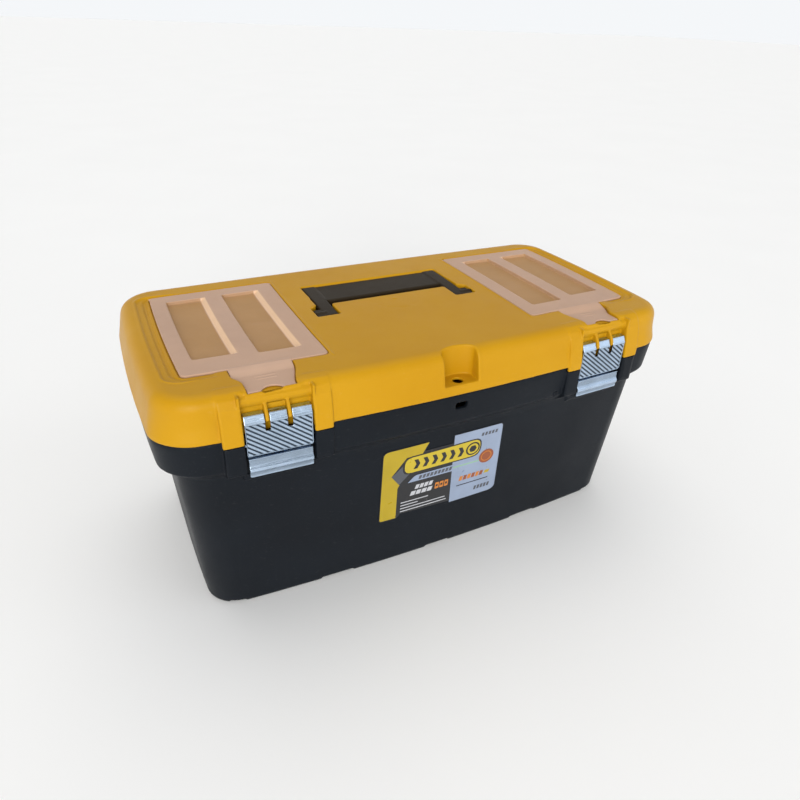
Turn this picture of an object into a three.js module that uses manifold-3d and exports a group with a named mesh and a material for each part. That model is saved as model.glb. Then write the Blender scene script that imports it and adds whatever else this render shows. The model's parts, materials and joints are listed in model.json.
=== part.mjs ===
// Plastic toolbox, about 560 mm (22 inches) long: a black tub, a yellow hinged lid with two organiser wells
// under clear covers, a folding carry handle, two metal draw latches and a lift-out tray.
// Millimetres. +X runs along the box, -Y is the front, +Z is up, and the floor is z = 0.

import * as THREE from 'three';
import { mergeVertices } from 'three/addons/utils/BufferGeometryUtils.js';
import Module from 'manifold-3d';

const wasm = await Module();
wasm.setup();

// ---------------------------------------------------------------- driving dimensions

const HALF_LENGTH = 280;
const HALF_DEPTH = 141.5;
const PARTING_Z = 210.5;
const LID_TOP = 252;
const WALL = 3;
const GAP = 0.3;
const CORNER_RADIUS = 36;
const FRONT_BOW = 15;
const BACK_BOW = 3;
const END_BOW = 5;

// Outer skin of the lid and of the tub: height, and how far the ends and the long sides lie inside the rim.
const LID_SKIN = [
  { z: PARTING_Z, end: 0, side: 0 },
  { z: 224, end: 2.2, side: 2.2 },
  { z: 238, end: 5.2, side: 5.2 },
  { z: 246, end: 9.5, side: 9.5 },
  { z: 250.3, end: 14.5, side: 14 },
  { z: LID_TOP, end: 22, side: 19.5 },
];
const LID_CORE = [
  { z: PARTING_Z - 10, end: 3, side: 3 },
  { z: 224, end: 5.2, side: 5.2 },
  { z: 238, end: 8.5, side: 8.5 },
  { z: 245, end: 13, side: 13 },
  { z: 249.3, end: 22, side: 20 },
];
const TUB_TOP = PARTING_Z - GAP;
const TUB_SKIN = [
  { z: 0, end: 31, side: 24 },
  { z: 3, end: 29.8, side: 22.8 },
  { z: 168, end: 17, side: 10 },
  { z: 181, end: 5, side: 4 },
  { z: 206, end: 1.6, side: 1.6 },
  { z: TUB_TOP, end: 1.4, side: 1.4 },
];
const TUB_CORE = [
  { z: 5.5, end: 34, side: 27 },
  { z: 168, end: 20.5, side: 13.5 },
  { z: 182, end: 8.5, side: 7.5 },
  { z: PARTING_Z + 10, end: 6.2, side: 6.2 },
];
const UPSTAND = { inner: 6.2, outer: 4.4, top: 213 };

// Latch bays: one frame each, tangent to the bowed front. v points into the box from the latch's outer face.
const LATCH_X = 175.9;
const LATCH_Y = -136.1;
const LATCH_TILT = 2.2 * Math.PI / 180;
const BAY_HALF = 30.5;
const PILASTER_HALF = 47.5;
const BAY_DEPTH = 9.5;
const RIB_U = 9.6;
const RIB_WIDTH = 2.8;
const HOOK_HALF = 28.9;
const LEVER_HALF = 28.2;
const SLOT_WIDTH = 4.4;
const RIB_SLOPE = 38 * Math.PI / 180;
const LEVER_PIVOT = { v: 4.3, z: 202, pin: 1.6 };
const HOOK_PIVOT = { v: 3.9, z: 194.5, pin: 1.1 };
const HOOK_FOOT = 192.4;
const KNUCKLE_HALF = 13.5;

// Rear hinges.
const HINGE_X = 165;
const HINGE = { y: 145.2, z: 208.5, knuckle: 4.6, pin: 2 };
const LID_KNUCKLE_HALF = 12.8;
const HINGE_HALF = 27;

// Organiser wells and covers, for the right-hand side; the left one is its mirror image.
const COVER = { x0: 113.5, x1: 244, y0: -90, y1: 102.2, bottom: 249.2, top: 251.6 };
const COVER_AXIS = { y: 99.8, z: 249.8, pin: 1.4 };
const COVER_PIN_OUT = 3;
const TONGUE = { x0: 155.9, x1: 197.4, rootX0: 148, rootX1: 204, front: -125.2, bottom: 246.9, top: 248.6 };
const WINDOWS = [
  { x0: 136, x1: 171, y0: -66, y1: 84 },
  { x0: 193.5, x1: 228.5, y0: -60, y1: 84 },
];
const WINDOW_DROP = 3.4;
const WELL = { x0: 119, x1: 239, y0: -80, y1: 94, floor: 215.5 };
const WELL_WALL = 2;
const LANE_WALL_X = 182;
const LANE_WALL_TOP = 244;
const ORGANISER_DIVIDER_Y = { inner: 22, outer: -18 };

// Handle and its recess.
const HANDLE = { arm0: 69.4, arm1: 84, grip0: 32, grip1: 74.2, end: -5, bottom: 240.5, top: 250.8 };
const HANDLE_AXIS = { y: 3, z: 245.6, pin: 4 };
const RECESS = { half: 84.8, inner: 68.6, y0: -8, y1: 75, gripY0: 20, floor: 226, wellHalf: 93.7, wellY1: 14 };
const RECESS_WALL = 2.5;

// Padlock niche in the middle of the lid's front.
const NICHE = { half: 18, back: -119, straight: -128, shelf: 220.5 };
const PADLOCK_HOLE = { y: -130.5, radius: 5 };

// Front label.
const LABEL = { x0: -76, x1: 66, z0: 63, z1: 157, thickness: 0.4 };

// Lift-out tray.
const TRAY_SKIN = [
  { z: 128, end: 36, side: 31 },
  { z: 173.4, end: 24, side: 21 },
  { z: 174.8, end: 15, side: 15 },
  { z: 178, end: 12.5, side: 15 },
];
const TRAY_CORE = [
  { z: 130.2, end: 38.5, side: 33.5 },
  { z: 190, end: 23, side: 20 },
];
const TRAY_CROSS_X = 81.3;
const TRAY_LONG_Y = 0;
const TRAY_WALL = 2;
const TRAY_WALL_TOP = 177;
const TRAY_DIVIDER_X = 165;
const TRAY_HANDLE = { half: 80, width: 26, foot: 158, top: 205, thickness: 9 };

// The hinge knuckles stand out at the back, so the whole model moves forward to centre its box.
const SHIFT_Y = (HALF_DEPTH - HINGE.y - HINGE.knuckle) / 2;

// ---------------------------------------------------------------- solids

function toSolid(geometry) {
  const plain = geometry.clone();
  plain.deleteAttribute('normal');
  plain.deleteAttribute('uv');
  const merged = mergeVertices(plain, 1e-4);
  return new wasm.Manifold(new wasm.Mesh({
    numProp: 3,
    vertProperties: new Float32Array(merged.attributes.position.array),
    triVerts: new Uint32Array(merged.index.array),
  }));
}

function toGeometry(solid) {
  const mesh = solid.getMesh();
  const geometry = new THREE.BufferGeometry();
  geometry.setAttribute('position', new THREE.BufferAttribute(new Float32Array(mesh.vertProperties), 3));
  geometry.setIndex(new THREE.BufferAttribute(new Uint32Array(mesh.triVerts), 1));
  geometry.computeVertexNormals();
  return geometry;
}

function box(x0, x1, y0, y1, z0, z1) {
  const geometry = new THREE.BoxGeometry(x1 - x0, y1 - y0, z1 - z0);
  geometry.translate((x0 + x1) / 2, (y0 + y1) / 2, (z0 + z1) / 2);
  return toSolid(geometry);
}

// A round bar along X, or along Z, between two ends.
function barX(x0, x1, y, z, radius, sides = 18) {
  const geometry = new THREE.CylinderGeometry(radius, radius, x1 - x0, sides);
  geometry.rotateZ(Math.PI / 2);
  geometry.translate((x0 + x1) / 2, y, z);
  return toSolid(geometry);
}

function barZ(x, y, z0, z1, radius, sides = 18) {
  const geometry = new THREE.CylinderGeometry(radius, radius, z1 - z0, sides);
  geometry.rotateX(Math.PI / 2);
  geometry.translate(x, y, (z0 + z1) / 2);
  return toSolid(geometry);
}

// An outline in plan, raised from z0 to z1.
function slab(points, z0, z1) {
  const geometry = new THREE.ExtrudeGeometry(new THREE.Shape(points), { depth: z1 - z0, bevelEnabled: false });
  geometry.translate(0, 0, z0);
  return toSolid(geometry);
}

// A side profile of [y, z] pairs, run along X.
function profileX(pairs, x0, x1) {
  const shape = new THREE.Shape(pairs.map(([y, z]) => new THREE.Vector2(y, z)));
  const geometry = new THREE.ExtrudeGeometry(shape, { depth: x1 - x0, bevelEnabled: false });
  geometry.applyMatrix4(new THREE.Matrix4().set(0, 0, 1, x0, 1, 0, 0, 0, 0, 1, 0, 0, 0, 0, 0, 1));
  return toSolid(geometry);
}

function joined(solids) {
  return solids.reduce((whole, next) => whole.add(next));
}

function cut(solid, cutters) {
  return cutters.reduce((whole, next) => whole.subtract(next), solid);
}

// ---------------------------------------------------------------- plan outlines

// Front, back and ends bow outwards in the middle: a point of the straight box goes to its place on the bowed one.
function bowed(x, y) {
  const along = x / HALF_LENGTH;
  const across = y / HALF_DEPTH;
  const bow = y < 0 ? FRONT_BOW : BACK_BOW;
  return [x - END_BOW * along * across * across, y - bow * across * along * along];
}

function bowedPoint(point) {
  return new THREE.Vector2(...bowed(point.x, point.y));
}

// A rectangle with round corners, with points along its sides no further apart than spacing.
function roundedRectangle(x0, x1, y0, y1, radius, spacing = 60, arcSteps = 5) {
  const corners = [
    [x1 - radius, y0 + radius, -Math.PI / 2],
    [x1 - radius, y1 - radius, 0],
    [x0 + radius, y1 - radius, Math.PI / 2],
    [x0 + radius, y0 + radius, Math.PI],
  ];
  const arcs = corners.map(([cx, cy, start]) => {
    const arc = [];
    for (let i = 0; i <= arcSteps; i += 1) {
      const angle = start + (Math.PI / 2) * (i / arcSteps);
      arc.push(new THREE.Vector2(cx + radius * Math.cos(angle), cy + radius * Math.sin(angle)));
    }
    return arc;
  });
  const points = [];
  arcs.forEach((arc, i) => {
    points.push(...arc);
    const from = arc[arcSteps];
    const to = arcs[(i + 1) % 4][0];
    const pieces = Math.max(1, Math.ceil(from.distanceTo(to) / spacing));
    for (let k = 1; k < pieces; k += 1) points.push(from.clone().lerp(to, k / pieces));
  });
  return points;
}

function ascending(pair) {
  return pair.sort((a, b) => a - b);
}

function grown(area, by) {
  return { x0: area.x0 - by, x1: area.x1 + by, y0: area.y0 - by, y1: area.y1 + by };
}

// A bowed pad of an area on the right-hand side (hand 1) or its mirror image on the left (hand -1).
function pad(hand, area, radius, z0, z1) {
  const x0 = hand > 0 ? area.x0 : -area.x1;
  const x1 = hand > 0 ? area.x1 : -area.x0;
  const outline = roundedRectangle(x0, x1, area.y0, area.y1, radius, 60, 2);
  return slab(outline.map(bowedPoint), z0, z1);
}

// The box's outline drafted through levels of height and inset, then bowed.
function skin(levels, grow = 0) {
  const outline = roundedRectangle(-HALF_LENGTH, HALF_LENGTH, -HALF_DEPTH, HALF_DEPTH, CORNER_RADIUS);
  const steps = levels.length - 1;
  const geometry = new THREE.ExtrudeGeometry(new THREE.Shape(outline), { depth: steps, steps, bevelEnabled: false });
  const position = geometry.attributes.position;
  for (let i = 0; i < position.count; i += 1) {
    const level = levels[Math.round(position.getZ(i))];
    const x = position.getX(i) * (HALF_LENGTH - level.end + grow) / HALF_LENGTH;
    const y = position.getY(i) * (HALF_DEPTH - level.side + grow) / HALF_DEPTH;
    position.setXYZ(i, ...bowed(x, y), level.z);
  }
  return toSolid(geometry);
}

// ---------------------------------------------------------------- placing in a latch bay

// The place of a latch bay's own frame on the box, as a matrix.
function bayMatrix(hand) {
  const turn = new THREE.Matrix4().makeRotationZ(hand * LATCH_TILT);
  return new THREE.Matrix4().makeTranslation(hand * LATCH_X, LATCH_Y, 0).multiply(turn);
}

function inBay(solid, hand) {
  const geometry = toGeometry(solid);
  geometry.applyMatrix4(bayMatrix(hand));
  return toSolid(geometry);
}

function bothPilasters(profile, half = PILASTER_HALF, inner = BAY_HALF) {
  return joined([profileX(profile, -half, -inner), profileX(profile, inner, half)]);
}

// ---------------------------------------------------------------- tub

function tubPilasters() {
  return bothPilasters([
    [-2.2, 178], [-2.2, 207], [0, TUB_TOP], [13, TUB_TOP], [13, 166], [8, 169.5],
  ]);
}

function tubBay(hand) {
  const backing = box(-BAY_HALF - 2, BAY_HALF + 2, BAY_DEPTH - 0.5, BAY_DEPTH + WALL, 160, TUB_TOP);
  return inBay(tubPilasters().add(backing), hand);
}

function tubBayCut(hand) {
  const bay = box(-BAY_HALF, BAY_HALF, -12, BAY_DEPTH, 169, TUB_TOP + 5);
  const lidFoot = box(-PILASTER_HALF - 0.4, PILASTER_HALF + 0.4, -12, 1.8, 205.6, TUB_TOP + 5);
  const hole = barX(-36, 36, LEVER_PIVOT.v, LEVER_PIVOT.z, LEVER_PIVOT.pin + GAP);
  return inBay(joined([bay, lidFoot, hole]), hand);
}

function tubHingeLugs(x) {
  const lug = (from, to) => barX(from, to, HINGE.y, HINGE.z, HINGE.knuckle)
    .add(box(from, to, 136, HINGE.y, HINGE.z - 9, HINGE.z - 1));
  return joined([lug(x - HINGE_HALF, x - LID_KNUCKLE_HALF - 0.5), lug(x + LID_KNUCKLE_HALF + 0.5, x + HINGE_HALF)]);
}

function upstand() {
  const ring = (inset, z0, z1) => skin([{ z: z0, end: inset, side: inset }, { z: z1, end: inset, side: inset }]);
  return ring(UPSTAND.outer, TUB_TOP - 4, UPSTAND.top).subtract(ring(UPSTAND.inner, TUB_TOP - 6, UPSTAND.top + 2));
}

// Grooves across the underside leave low feet.
function footGrooves() {
  const grooves = [[-14, 14], [102, 136], [-136, -102], [217, 231], [-231, -217]];
  return grooves.map(([x0, x1]) => box(x0, x1, -HALF_DEPTH, HALF_DEPTH, -5, 2.5));
}

function tub() {
  const shell = skin(TUB_SKIN).subtract(skin(TUB_CORE));
  let body = joined([shell, upstand()]);
  body = cut(body, [1, -1].map((hand) => inBay(box(-40, 40, -12, BAY_DEPTH - 1, 171, 220), hand)));
  body = joined([body, tubBay(1), tubBay(-1), tubHingeLugs(HINGE_X), tubHingeLugs(-HINGE_X)]);
  const hinges = [HINGE_X, -HINGE_X].map((x) => barX(x - 40, x + 40, HINGE.y, HINGE.z, HINGE.pin + GAP));
  const shackle = box(-5, 8, -150, -132.5, 193.5, 200.5);
  return cut(body, [tubBayCut(1), tubBayCut(-1), ...hinges, ...footGrooves(), shackle]);
}

// ---------------------------------------------------------------- lid

function wellWalls(hand) {
  const seat = pad(hand, grown(COVER, 4), 8, 244.4, LID_TOP - 0.1);
  const well = pad(hand, grown(WELL, WELL_WALL), 8, WELL.floor - WELL_WALL, 248);
  const shelf = slab(tongueOutline(hand, 2.6), 244.2, 249.6);
  return joined([seat, well, shelf]);
}

function wellCut(hand) {
  const well = pad(hand, WELL, 6, WELL.floor, LID_TOP + 10);
  const seat = pad(hand, grown(COVER, 0.6), 5, COVER.bottom - 0.5, LID_TOP + 10);
  const swing = { ...grown(COVER, 0.6), y0: COVER_AXIS.y - 4, y1: COVER.y1 + 1.6 };
  const groove = pad(hand, swing, 2, COVER_AXIS.z - 3.3, LID_TOP + 10);
  const ends = ascending([hand * (COVER.x0 - COVER_PIN_OUT - 0.6), hand * (COVER.x1 + COVER_PIN_OUT + 0.6)]);
  const pins = barX(...ends, COVER_AXIS.y, COVER_AXIS.z, COVER_AXIS.pin + GAP);
  return joined([well, seat, groove, pins]);
}

// The wall between two lanes, and the pairs of guide ribs that hold the removable dividers.
function laneWalls(hand) {
  const wall = { x0: LANE_WALL_X - 1, x1: LANE_WALL_X + 1, y0: WELL.y0 - 1, y1: WELL.y1 + 1 };
  const lanes = [
    { y: ORGANISER_DIVIDER_Y.inner, walls: [WELL.x0, LANE_WALL_X - 2.2] },
    { y: ORGANISER_DIVIDER_Y.outer, walls: [LANE_WALL_X + 0.8, WELL.x1 - 1.4] },
  ];
  const solids = [pad(hand, wall, 0.5, WELL.floor - 1, LANE_WALL_TOP)];
  lanes.forEach(({ y, walls }) => walls.forEach((x) => [-2.6, 1.4].forEach((offset) => {
    const rib = { x0: x - 0.4, x1: x + 1.8, y0: y + offset, y1: y + offset + 1.2 };
    solids.push(pad(hand, rib, 0.2, WELL.floor - 1, LANE_WALL_TOP - 2));
  })));
  return joined(solids);
}

function lidPilasters() {
  return bothPilasters([
    [-2.2, 206], [-2, 214], [0, 228], [2.8, 240], [6.5, 246.5], [12, 250.6], [20, 251.2], [20, 248], [10, 244],
    [5, 232], [3.6, 214], [1.4, PARTING_Z], [1.4, 206],
  ]);
}

function lidBay(hand) {
  const backing = box(-BAY_HALF - 2, BAY_HALF + 2, BAY_DEPTH, BAY_DEPTH + 2.6, PARTING_Z, 246);
  const webs = joined([-1, 1].map((side) => {
    const x = side * (BAY_HALF + 1.2);
    return box(x - 1.2, x + 1.2, 1.8, BAY_DEPTH + 2.6, PARTING_Z, 249.5);
  }));
  const catchBead = profileX([
    [BAY_DEPTH + 0.5, 221], [4.8, 223.5], [4.6, 227.5], [6.2, 229.6], [BAY_DEPTH + 0.5, 230],
  ], -BAY_HALF - 1, BAY_HALF + 1);
  const ledge = profileX([
    [BAY_DEPTH + 1, 235.5], [7.4, 238.5], [6.2, 241.6], [6.6, 244.6], [8.6, 246.2], [24, 246.2], [24, 243.5],
    [BAY_DEPTH + 1, 240],
  ], -BAY_HALF - 1, BAY_HALF + 1);
  const rib = (u) => profileX([
    [BAY_DEPTH + 0.5, 223.6], [0.4, 224], [-0.8, 226], [0.6, 231], [7.2, 240], [BAY_DEPTH + 0.5, 240],
  ], u - RIB_WIDTH / 2, u + RIB_WIDTH / 2);
  return inBay(joined([backing, webs, catchBead, ledge, rib(-RIB_U), rib(RIB_U)]), hand);
}

function tongueOutline(hand, grow) {
  const t = TONGUE;
  const right = [
    [t.rootX0 - grow, COVER.y0 + 6],
    [t.rootX0 - grow, COVER.y0 - 2],
    [t.x0 - grow, t.front - grow],
    [t.x1 + grow, t.front - grow],
    [t.x1 + grow, COVER.y0 - 22],
    [t.x1 + grow + 2, COVER.y0 - 12],
    [t.rootX1 + grow, COVER.y0 - 4],
    [t.rootX1 + grow, COVER.y0 + 6],
  ].map(([x, y]) => new THREE.Vector2(hand * x, y));
  return hand > 0 ? right : right.reverse();
}

function recessBlock() {
  const w = RECESS_WALL;
  const depth = [RECESS.floor - w, LID_TOP - 1];
  return joined([
    box(-RECESS.half - w, RECESS.half + w, RECESS.gripY0 - w, RECESS.y1 + w, ...depth),
    ...[1, -1].map((hand) => {
      const x = ascending([hand * (RECESS.inner - w), hand * (RECESS.wellHalf + w)]);
      return box(...x, RECESS.y0 - w, RECESS.gripY0 + 5, ...depth);
    }),
  ]);
}

function recessCut(hand) {
  const top = LID_TOP + 10;
  const arm = ascending([hand * RECESS.inner, hand * RECESS.half]);
  const well = [
    [RECESS.half - 1, RECESS.y0], [RECESS.wellHalf, RECESS.y0], [RECESS.wellHalf, RECESS.wellY1],
    [RECESS.half - 1, RECESS.wellY1 + 9],
  ].map(([x, y]) => new THREE.Vector2(hand * x, y));
  const ends = ascending([hand * RECESS.half, hand * (RECESS.wellHalf + 10)]);
  return joined([
    box(...arm, RECESS.y0, RECESS.gripY0 + 2, RECESS.floor, top),
    slab(hand > 0 ? well : well.reverse(), RECESS.floor, top),
    barX(...ends, HANDLE_AXIS.y, HANDLE_AXIS.z, HANDLE_AXIS.pin + GAP),
  ]);
}

// An arch in plan: straight sides from the front, and a round back.
function archOutline(half, back, front, straight) {
  const points = [new THREE.Vector2(half, front)];
  const steps = 12;
  for (let i = 0; i <= steps; i += 1) {
    const angle = Math.PI * (i / steps);
    points.push(new THREE.Vector2(half * Math.cos(angle), straight + (back - straight) * Math.sin(angle)));
  }
  points.push(new THREE.Vector2(-half, front));
  return points;
}

function nicheBlock() {
  const outline = archOutline(NICHE.half + 2.5, NICHE.back + 2.5, NICHE.straight - 6, NICHE.straight);
  return slab(outline, NICHE.shelf - 2.5, LID_TOP - 0.5).intersect(skin(LID_SKIN));
}

function nicheCut() {
  const arch = slab(archOutline(NICHE.half, NICHE.back, -HALF_DEPTH - 5, NICHE.straight), NICHE.shelf, LID_TOP + 10);
  return arch.add(barZ(0, PADLOCK_HOLE.y, NICHE.shelf - 8, NICHE.shelf + 2, PADLOCK_HOLE.radius));
}

function lidKnuckle(x) {
  const from = x - LID_KNUCKLE_HALF;
  const to = x + LID_KNUCKLE_HALF;
  const web = [[137, 212], [137, 221], [140, 221], [148.5, 211.5], [149.2, HINGE.z + 1], [144, HINGE.z + 3.4]];
  return barX(from, to, HINGE.y, HINGE.z, HINGE.knuckle).add(profileX(web, from, to));
}

function lid() {
  const shell = skin(LID_SKIN).subtract(skin(LID_CORE));
  let body = joined([shell, wellWalls(1), wellWalls(-1), recessBlock(), nicheBlock()]);
  body = body.intersect(skin(LID_SKIN));
  [1, -1].forEach((hand) => {
    body = body.add(inBay(lidPilasters(), hand));
    body = cut(body, [
      inBay(box(-BAY_HALF, BAY_HALF, -12, BAY_DEPTH, PARTING_Z - 10, LID_TOP + 10), hand),
      slab(tongueOutline(hand, 0.6), TONGUE.bottom - 0.5, LID_TOP + 10),
    ]);
    body = body.add(lidBay(hand).subtract(slab(tongueOutline(hand, 0.6), TONGUE.bottom - 0.5, LID_TOP + 10)));
    body = cut(body, [wellCut(hand), recessCut(hand)]);
    body = joined([body, laneWalls(hand), lidKnuckle(hand * HINGE_X)]);
  });
  const grip = box(-RECESS.half, RECESS.half, RECESS.gripY0, RECESS.y1, RECESS.floor, LID_TOP + 10);
  const hinge = barX(-HINGE_X - 40, HINGE_X + 40, HINGE.y, HINGE.z, HINGE.pin + GAP);
  return cut(body, [grip, nicheCut(), hinge]);
}

// ---------------------------------------------------------------- organiser covers and dividers

function tongue(hand) {
  const plate = slab(tongueOutline(hand, 0), TONGUE.bottom, COVER.top);
  const lowTop = box(hand > 0 ? 100 : -300, hand > 0 ? 300 : -100, -200, COVER.y0 - 3, TONGUE.top, 260);
  const slope = profileX([[COVER.y0 - 3.5, TONGUE.top], [COVER.y0 - 3.5, 260], [COVER.y0 + 3, 260],
    [COVER.y0 + 3, COVER.top]], hand > 0 ? 100 : -300, hand > 0 ? 300 : -100);
  return cut(plate, [lowTop, slope]);
}

function organiserCover(hand) {
  const plate = pad(hand, COVER, 5, COVER.bottom, COVER.top);
  const pans = WINDOWS.map((w) => pad(hand, grown(w, 1.8), 3, COVER.top - WINDOW_DROP - 1.6, COVER.top));
  const pits = WINDOWS.map((w) => pad(hand, w, 2, COVER.top - WINDOW_DROP, COVER.top + 5));
  const ends = ascending([hand * (COVER.x0 - COVER_PIN_OUT), hand * (COVER.x1 + COVER_PIN_OUT)]);
  const pins = barX(...ends, COVER_AXIS.y, COVER_AXIS.z, COVER_AXIS.pin, 12);
  const finger = barZ(hand * (TONGUE.x0 + TONGUE.x1) / 2, TONGUE.front - 4, 240, 256, 10);
  return cut(joined([plate, tongue(hand), pins, ...pans]), [...pits, finger]);
}

function organiserDivider(hand, lane) {
  const inner = lane === 'inner';
  const x0 = inner ? WELL.x0 + 0.6 : LANE_WALL_X + 1.6;
  const x1 = inner ? LANE_WALL_X - 1.6 : WELL.x1 - 0.8;
  const y = ORGANISER_DIVIDER_Y[lane];
  return pad(hand, { x0, x1, y0: y - 0.7, y1: y + 0.7 }, 0.3, WELL.floor + GAP, LANE_WALL_TOP - 3);
}

// ---------------------------------------------------------------- carry handle

function carryHandle() {
  const h = HANDLE;
  const round = 2.2;
  const grip = profileX([
    [h.grip0 + 1, h.bottom + 1], [h.grip0, h.bottom + 4], [h.grip0 + round, h.top - 1.4],
    [h.grip0 + 3 * round, h.top - 0.7], [h.grip1 - 3 * round, h.top - 0.7], [h.grip1, h.top - 1.6],
    [h.grip1, h.bottom + 2], [h.grip1 - 3, h.bottom],
  ], -h.arm0 - 1, h.arm0 + 1);
  const arm = (hand) => {
    const x = ascending([hand * h.arm0, hand * h.arm1]);
    const stub = ascending([hand * (h.arm1 - 1), hand * (RECESS.wellHalf + 2)]);
    const side = profileX([
      [h.end + 3, h.bottom], [h.end, h.bottom + 3], [h.end, h.top - 2], [h.end + 2, h.top], [h.grip1 - 2, h.top],
      [h.grip1, h.top - 2], [h.grip1, h.bottom + 3], [h.grip1 - 3, h.bottom],
    ], ...x);
    return side.add(barX(...stub, HANDLE_AXIS.y, HANDLE_AXIS.z, HANDLE_AXIS.pin));
  };
  return joined([grip, arm(1), arm(-1)]);
}

// ---------------------------------------------------------------- latches

// A fine rib across the hook plate's outside, sloping down to the right.
function hookRib(z) {
  const shape = new THREE.Shape([[0.3, -0.9], [0.3, 0.9], [-0.5, 0]].map(([y, w]) => new THREE.Vector2(y, w)));
  const geometry = new THREE.ExtrudeGeometry(shape, { depth: 90, bevelEnabled: false });
  geometry.applyMatrix4(new THREE.Matrix4().set(0, 0, 1, -45, 1, 0, 0, 0, 0, 1, 0, 0, 0, 0, 0, 1));
  geometry.rotateY(RIB_SLOPE);
  geometry.translate(0, 0, z);
  return toSolid(geometry);
}

// The upper plate: ribbed outside, its top edge folded in over the lid's catch, two slots for the lid's ribs.
function latchHook() {
  const h = HOOK_PIVOT;
  const plate = profileX([
    [0, HOOK_FOOT], [0, 225.6], [3, 231.3], [8.6, 231.6], [8.6, 230.5], [4, 230.2], [1.2, 225.2], [1.2, HOOK_FOOT],
  ], -HOOK_HALF, HOOK_HALF);
  const curl = box(-KNUCKLE_HALF, KNUCKLE_HALF, 0.9, h.v, h.z, h.z + 2.4);
  const knuckle = barX(-KNUCKLE_HALF, KNUCKLE_HALF, h.v, h.z, 2.5, 14);
  const ribs = [];
  for (let z = 172; z < 246; z += 4.7) ribs.push(hookRib(z));
  const ribbed = joined(ribs).intersect(box(-27.6, 27.6, -2, 0.2, HOOK_FOOT + 1, 223.6));
  const slots = [RIB_U, -RIB_U].map((u) => box(u - SLOT_WIDTH / 2, u + SLOT_WIDTH / 2, -3, 12, 215.5, 240));
  const hole = barX(-40, 40, h.v, h.z, h.pin + GAP, 12);
  return cut(joined([plate, curl, knuckle, ribbed]), [...slots, hole]);
}

// The lower plate: it turns on a pin in the tub, passes behind the hook's pin and ends in a finger lip.
function latchLever() {
  const h = HOOK_PIVOT;
  const barrel = barX(-LEVER_HALF, LEVER_HALF, LEVER_PIVOT.v, LEVER_PIVOT.z, 2.7, 14);
  const sheet = profileX([
    [6.9, 203], [8.1, 203], [8.1, 188.4], [1.6, 188.4], [1.5, 182.6], [-0.3, 178.8], [0.6, 177.4], [0.6, 171.2],
    [-0.6, 171.2], [-0.6, 176.8], [-1.6, 178], [-1.6, 180], [0.3, 183], [0.3, 189], [0.9, 189.6],
    [6.9, 189.6],
  ], -LEVER_HALF, LEVER_HALF);
  const side = (from, to) => barX(from, to, h.v, h.z, 2.3, 14).add(box(from, to, h.v, 7.5, h.z - 1.4, h.z + 1.4));
  const bridge = box(-LEVER_HALF, LEVER_HALF, LEVER_PIVOT.v, 7.5, LEVER_PIVOT.z - 1.2, LEVER_PIVOT.z + 0.6);
  const sides = [side(KNUCKLE_HALF + 0.4, LEVER_HALF - 0.4), side(-LEVER_HALF + 0.4, -KNUCKLE_HALF - 0.4)];
  const holes = [
    barX(-40, 40, LEVER_PIVOT.v, LEVER_PIVOT.z, LEVER_PIVOT.pin + GAP, 12),
    barX(-40, 40, h.v, h.z, h.pin + GAP, 12),
  ];
  return cut(joined([barrel, sheet, bridge, ...sides]), holes);
}

// ---------------------------------------------------------------- label

function frontLabel() {
  const outside = skin(TUB_SKIN, GAP + LABEL.thickness).subtract(skin(TUB_SKIN, GAP));
  return outside.intersect(box(LABEL.x0, LABEL.x1, -HALF_DEPTH - 10, -60, LABEL.z0, LABEL.z1));
}

// ---------------------------------------------------------------- tray

function trayWalls() {
  const cross = (x) => box(x - TRAY_WALL / 2, x + TRAY_WALL / 2, -112, 112, 129, TRAY_WALL_TOP);
  const ends = [[TRAY_CROSS_X, 262], [-262, -TRAY_CROSS_X]];
  const long = ends.map(([x0, x1]) => box(x0, x1, TRAY_LONG_Y - 1, TRAY_LONG_Y + 1, 129, TRAY_WALL_TOP));
  return joined([cross(TRAY_CROSS_X), cross(-TRAY_CROSS_X), ...long]).intersect(skin(TRAY_SKIN, -1));
}

function tray() {
  return skin(TRAY_SKIN).subtract(skin(TRAY_CORE)).add(trayWalls());
}

// An upside-down U that stands on the tray's two cross walls.
function trayHandle() {
  const t = TRAY_HANDLE;
  const outer = archOutline(t.half, t.top, t.foot, t.top - 22);
  const inner = archOutline(t.half - t.thickness, t.top - t.thickness, t.foot - 5, t.top - 24);
  const raised = (outline, width) => {
    const geometry = new THREE.ExtrudeGeometry(new THREE.Shape(outline), { depth: width, bevelEnabled: false });
    geometry.rotateX(Math.PI / 2);
    geometry.translate(0, width / 2, 0);
    return toSolid(geometry);
  };
  return raised(outer, t.width).subtract(raised(inner, t.width + 4));
}

// Dividers lie across the tray's four end compartments.
function trayDivider(hand, row) {
  const x = hand * TRAY_DIVIDER_X;
  const y0 = row === 'back' ? 1.5 : -103;
  const y1 = row === 'back' ? 103 : -1.5;
  return box(x - 0.8, x + 0.8, y0, y1, 131, TRAY_WALL_TOP - 4);
}

// ---------------------------------------------------------------- materials and scene

function finish(color, roughness, metalness = 0, opacity = 1) {
  return new THREE.MeshStandardMaterial({ color, roughness, metalness, opacity, transparent: opacity < 1 });
}

const YELLOW = finish(0xdfa01f, 0.42);
const BLACK = finish(0x24262b, 0.5);
const HANDLE_BLACK = finish(0x2a2826, 0.55);
const CLEAR = finish(0xc9ab98, 0.35, 0, 0.6);
const STEEL = finish(0xb4c0cc, 0.3, 0.9);
const PRINT = finish(0xc9b62b, 0.4);

const toolbox = new THREE.Group();
toolbox.position.y = SHIFT_Y;

function addPiece(name, solid, material, matrix = null) {
  const geometry = toGeometry(solid);
  const mesh = new THREE.Mesh(geometry, material.clone());
  mesh.name = name;
  if (matrix) mesh.applyMatrix4(matrix);
  toolbox.add(mesh);
}

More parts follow.
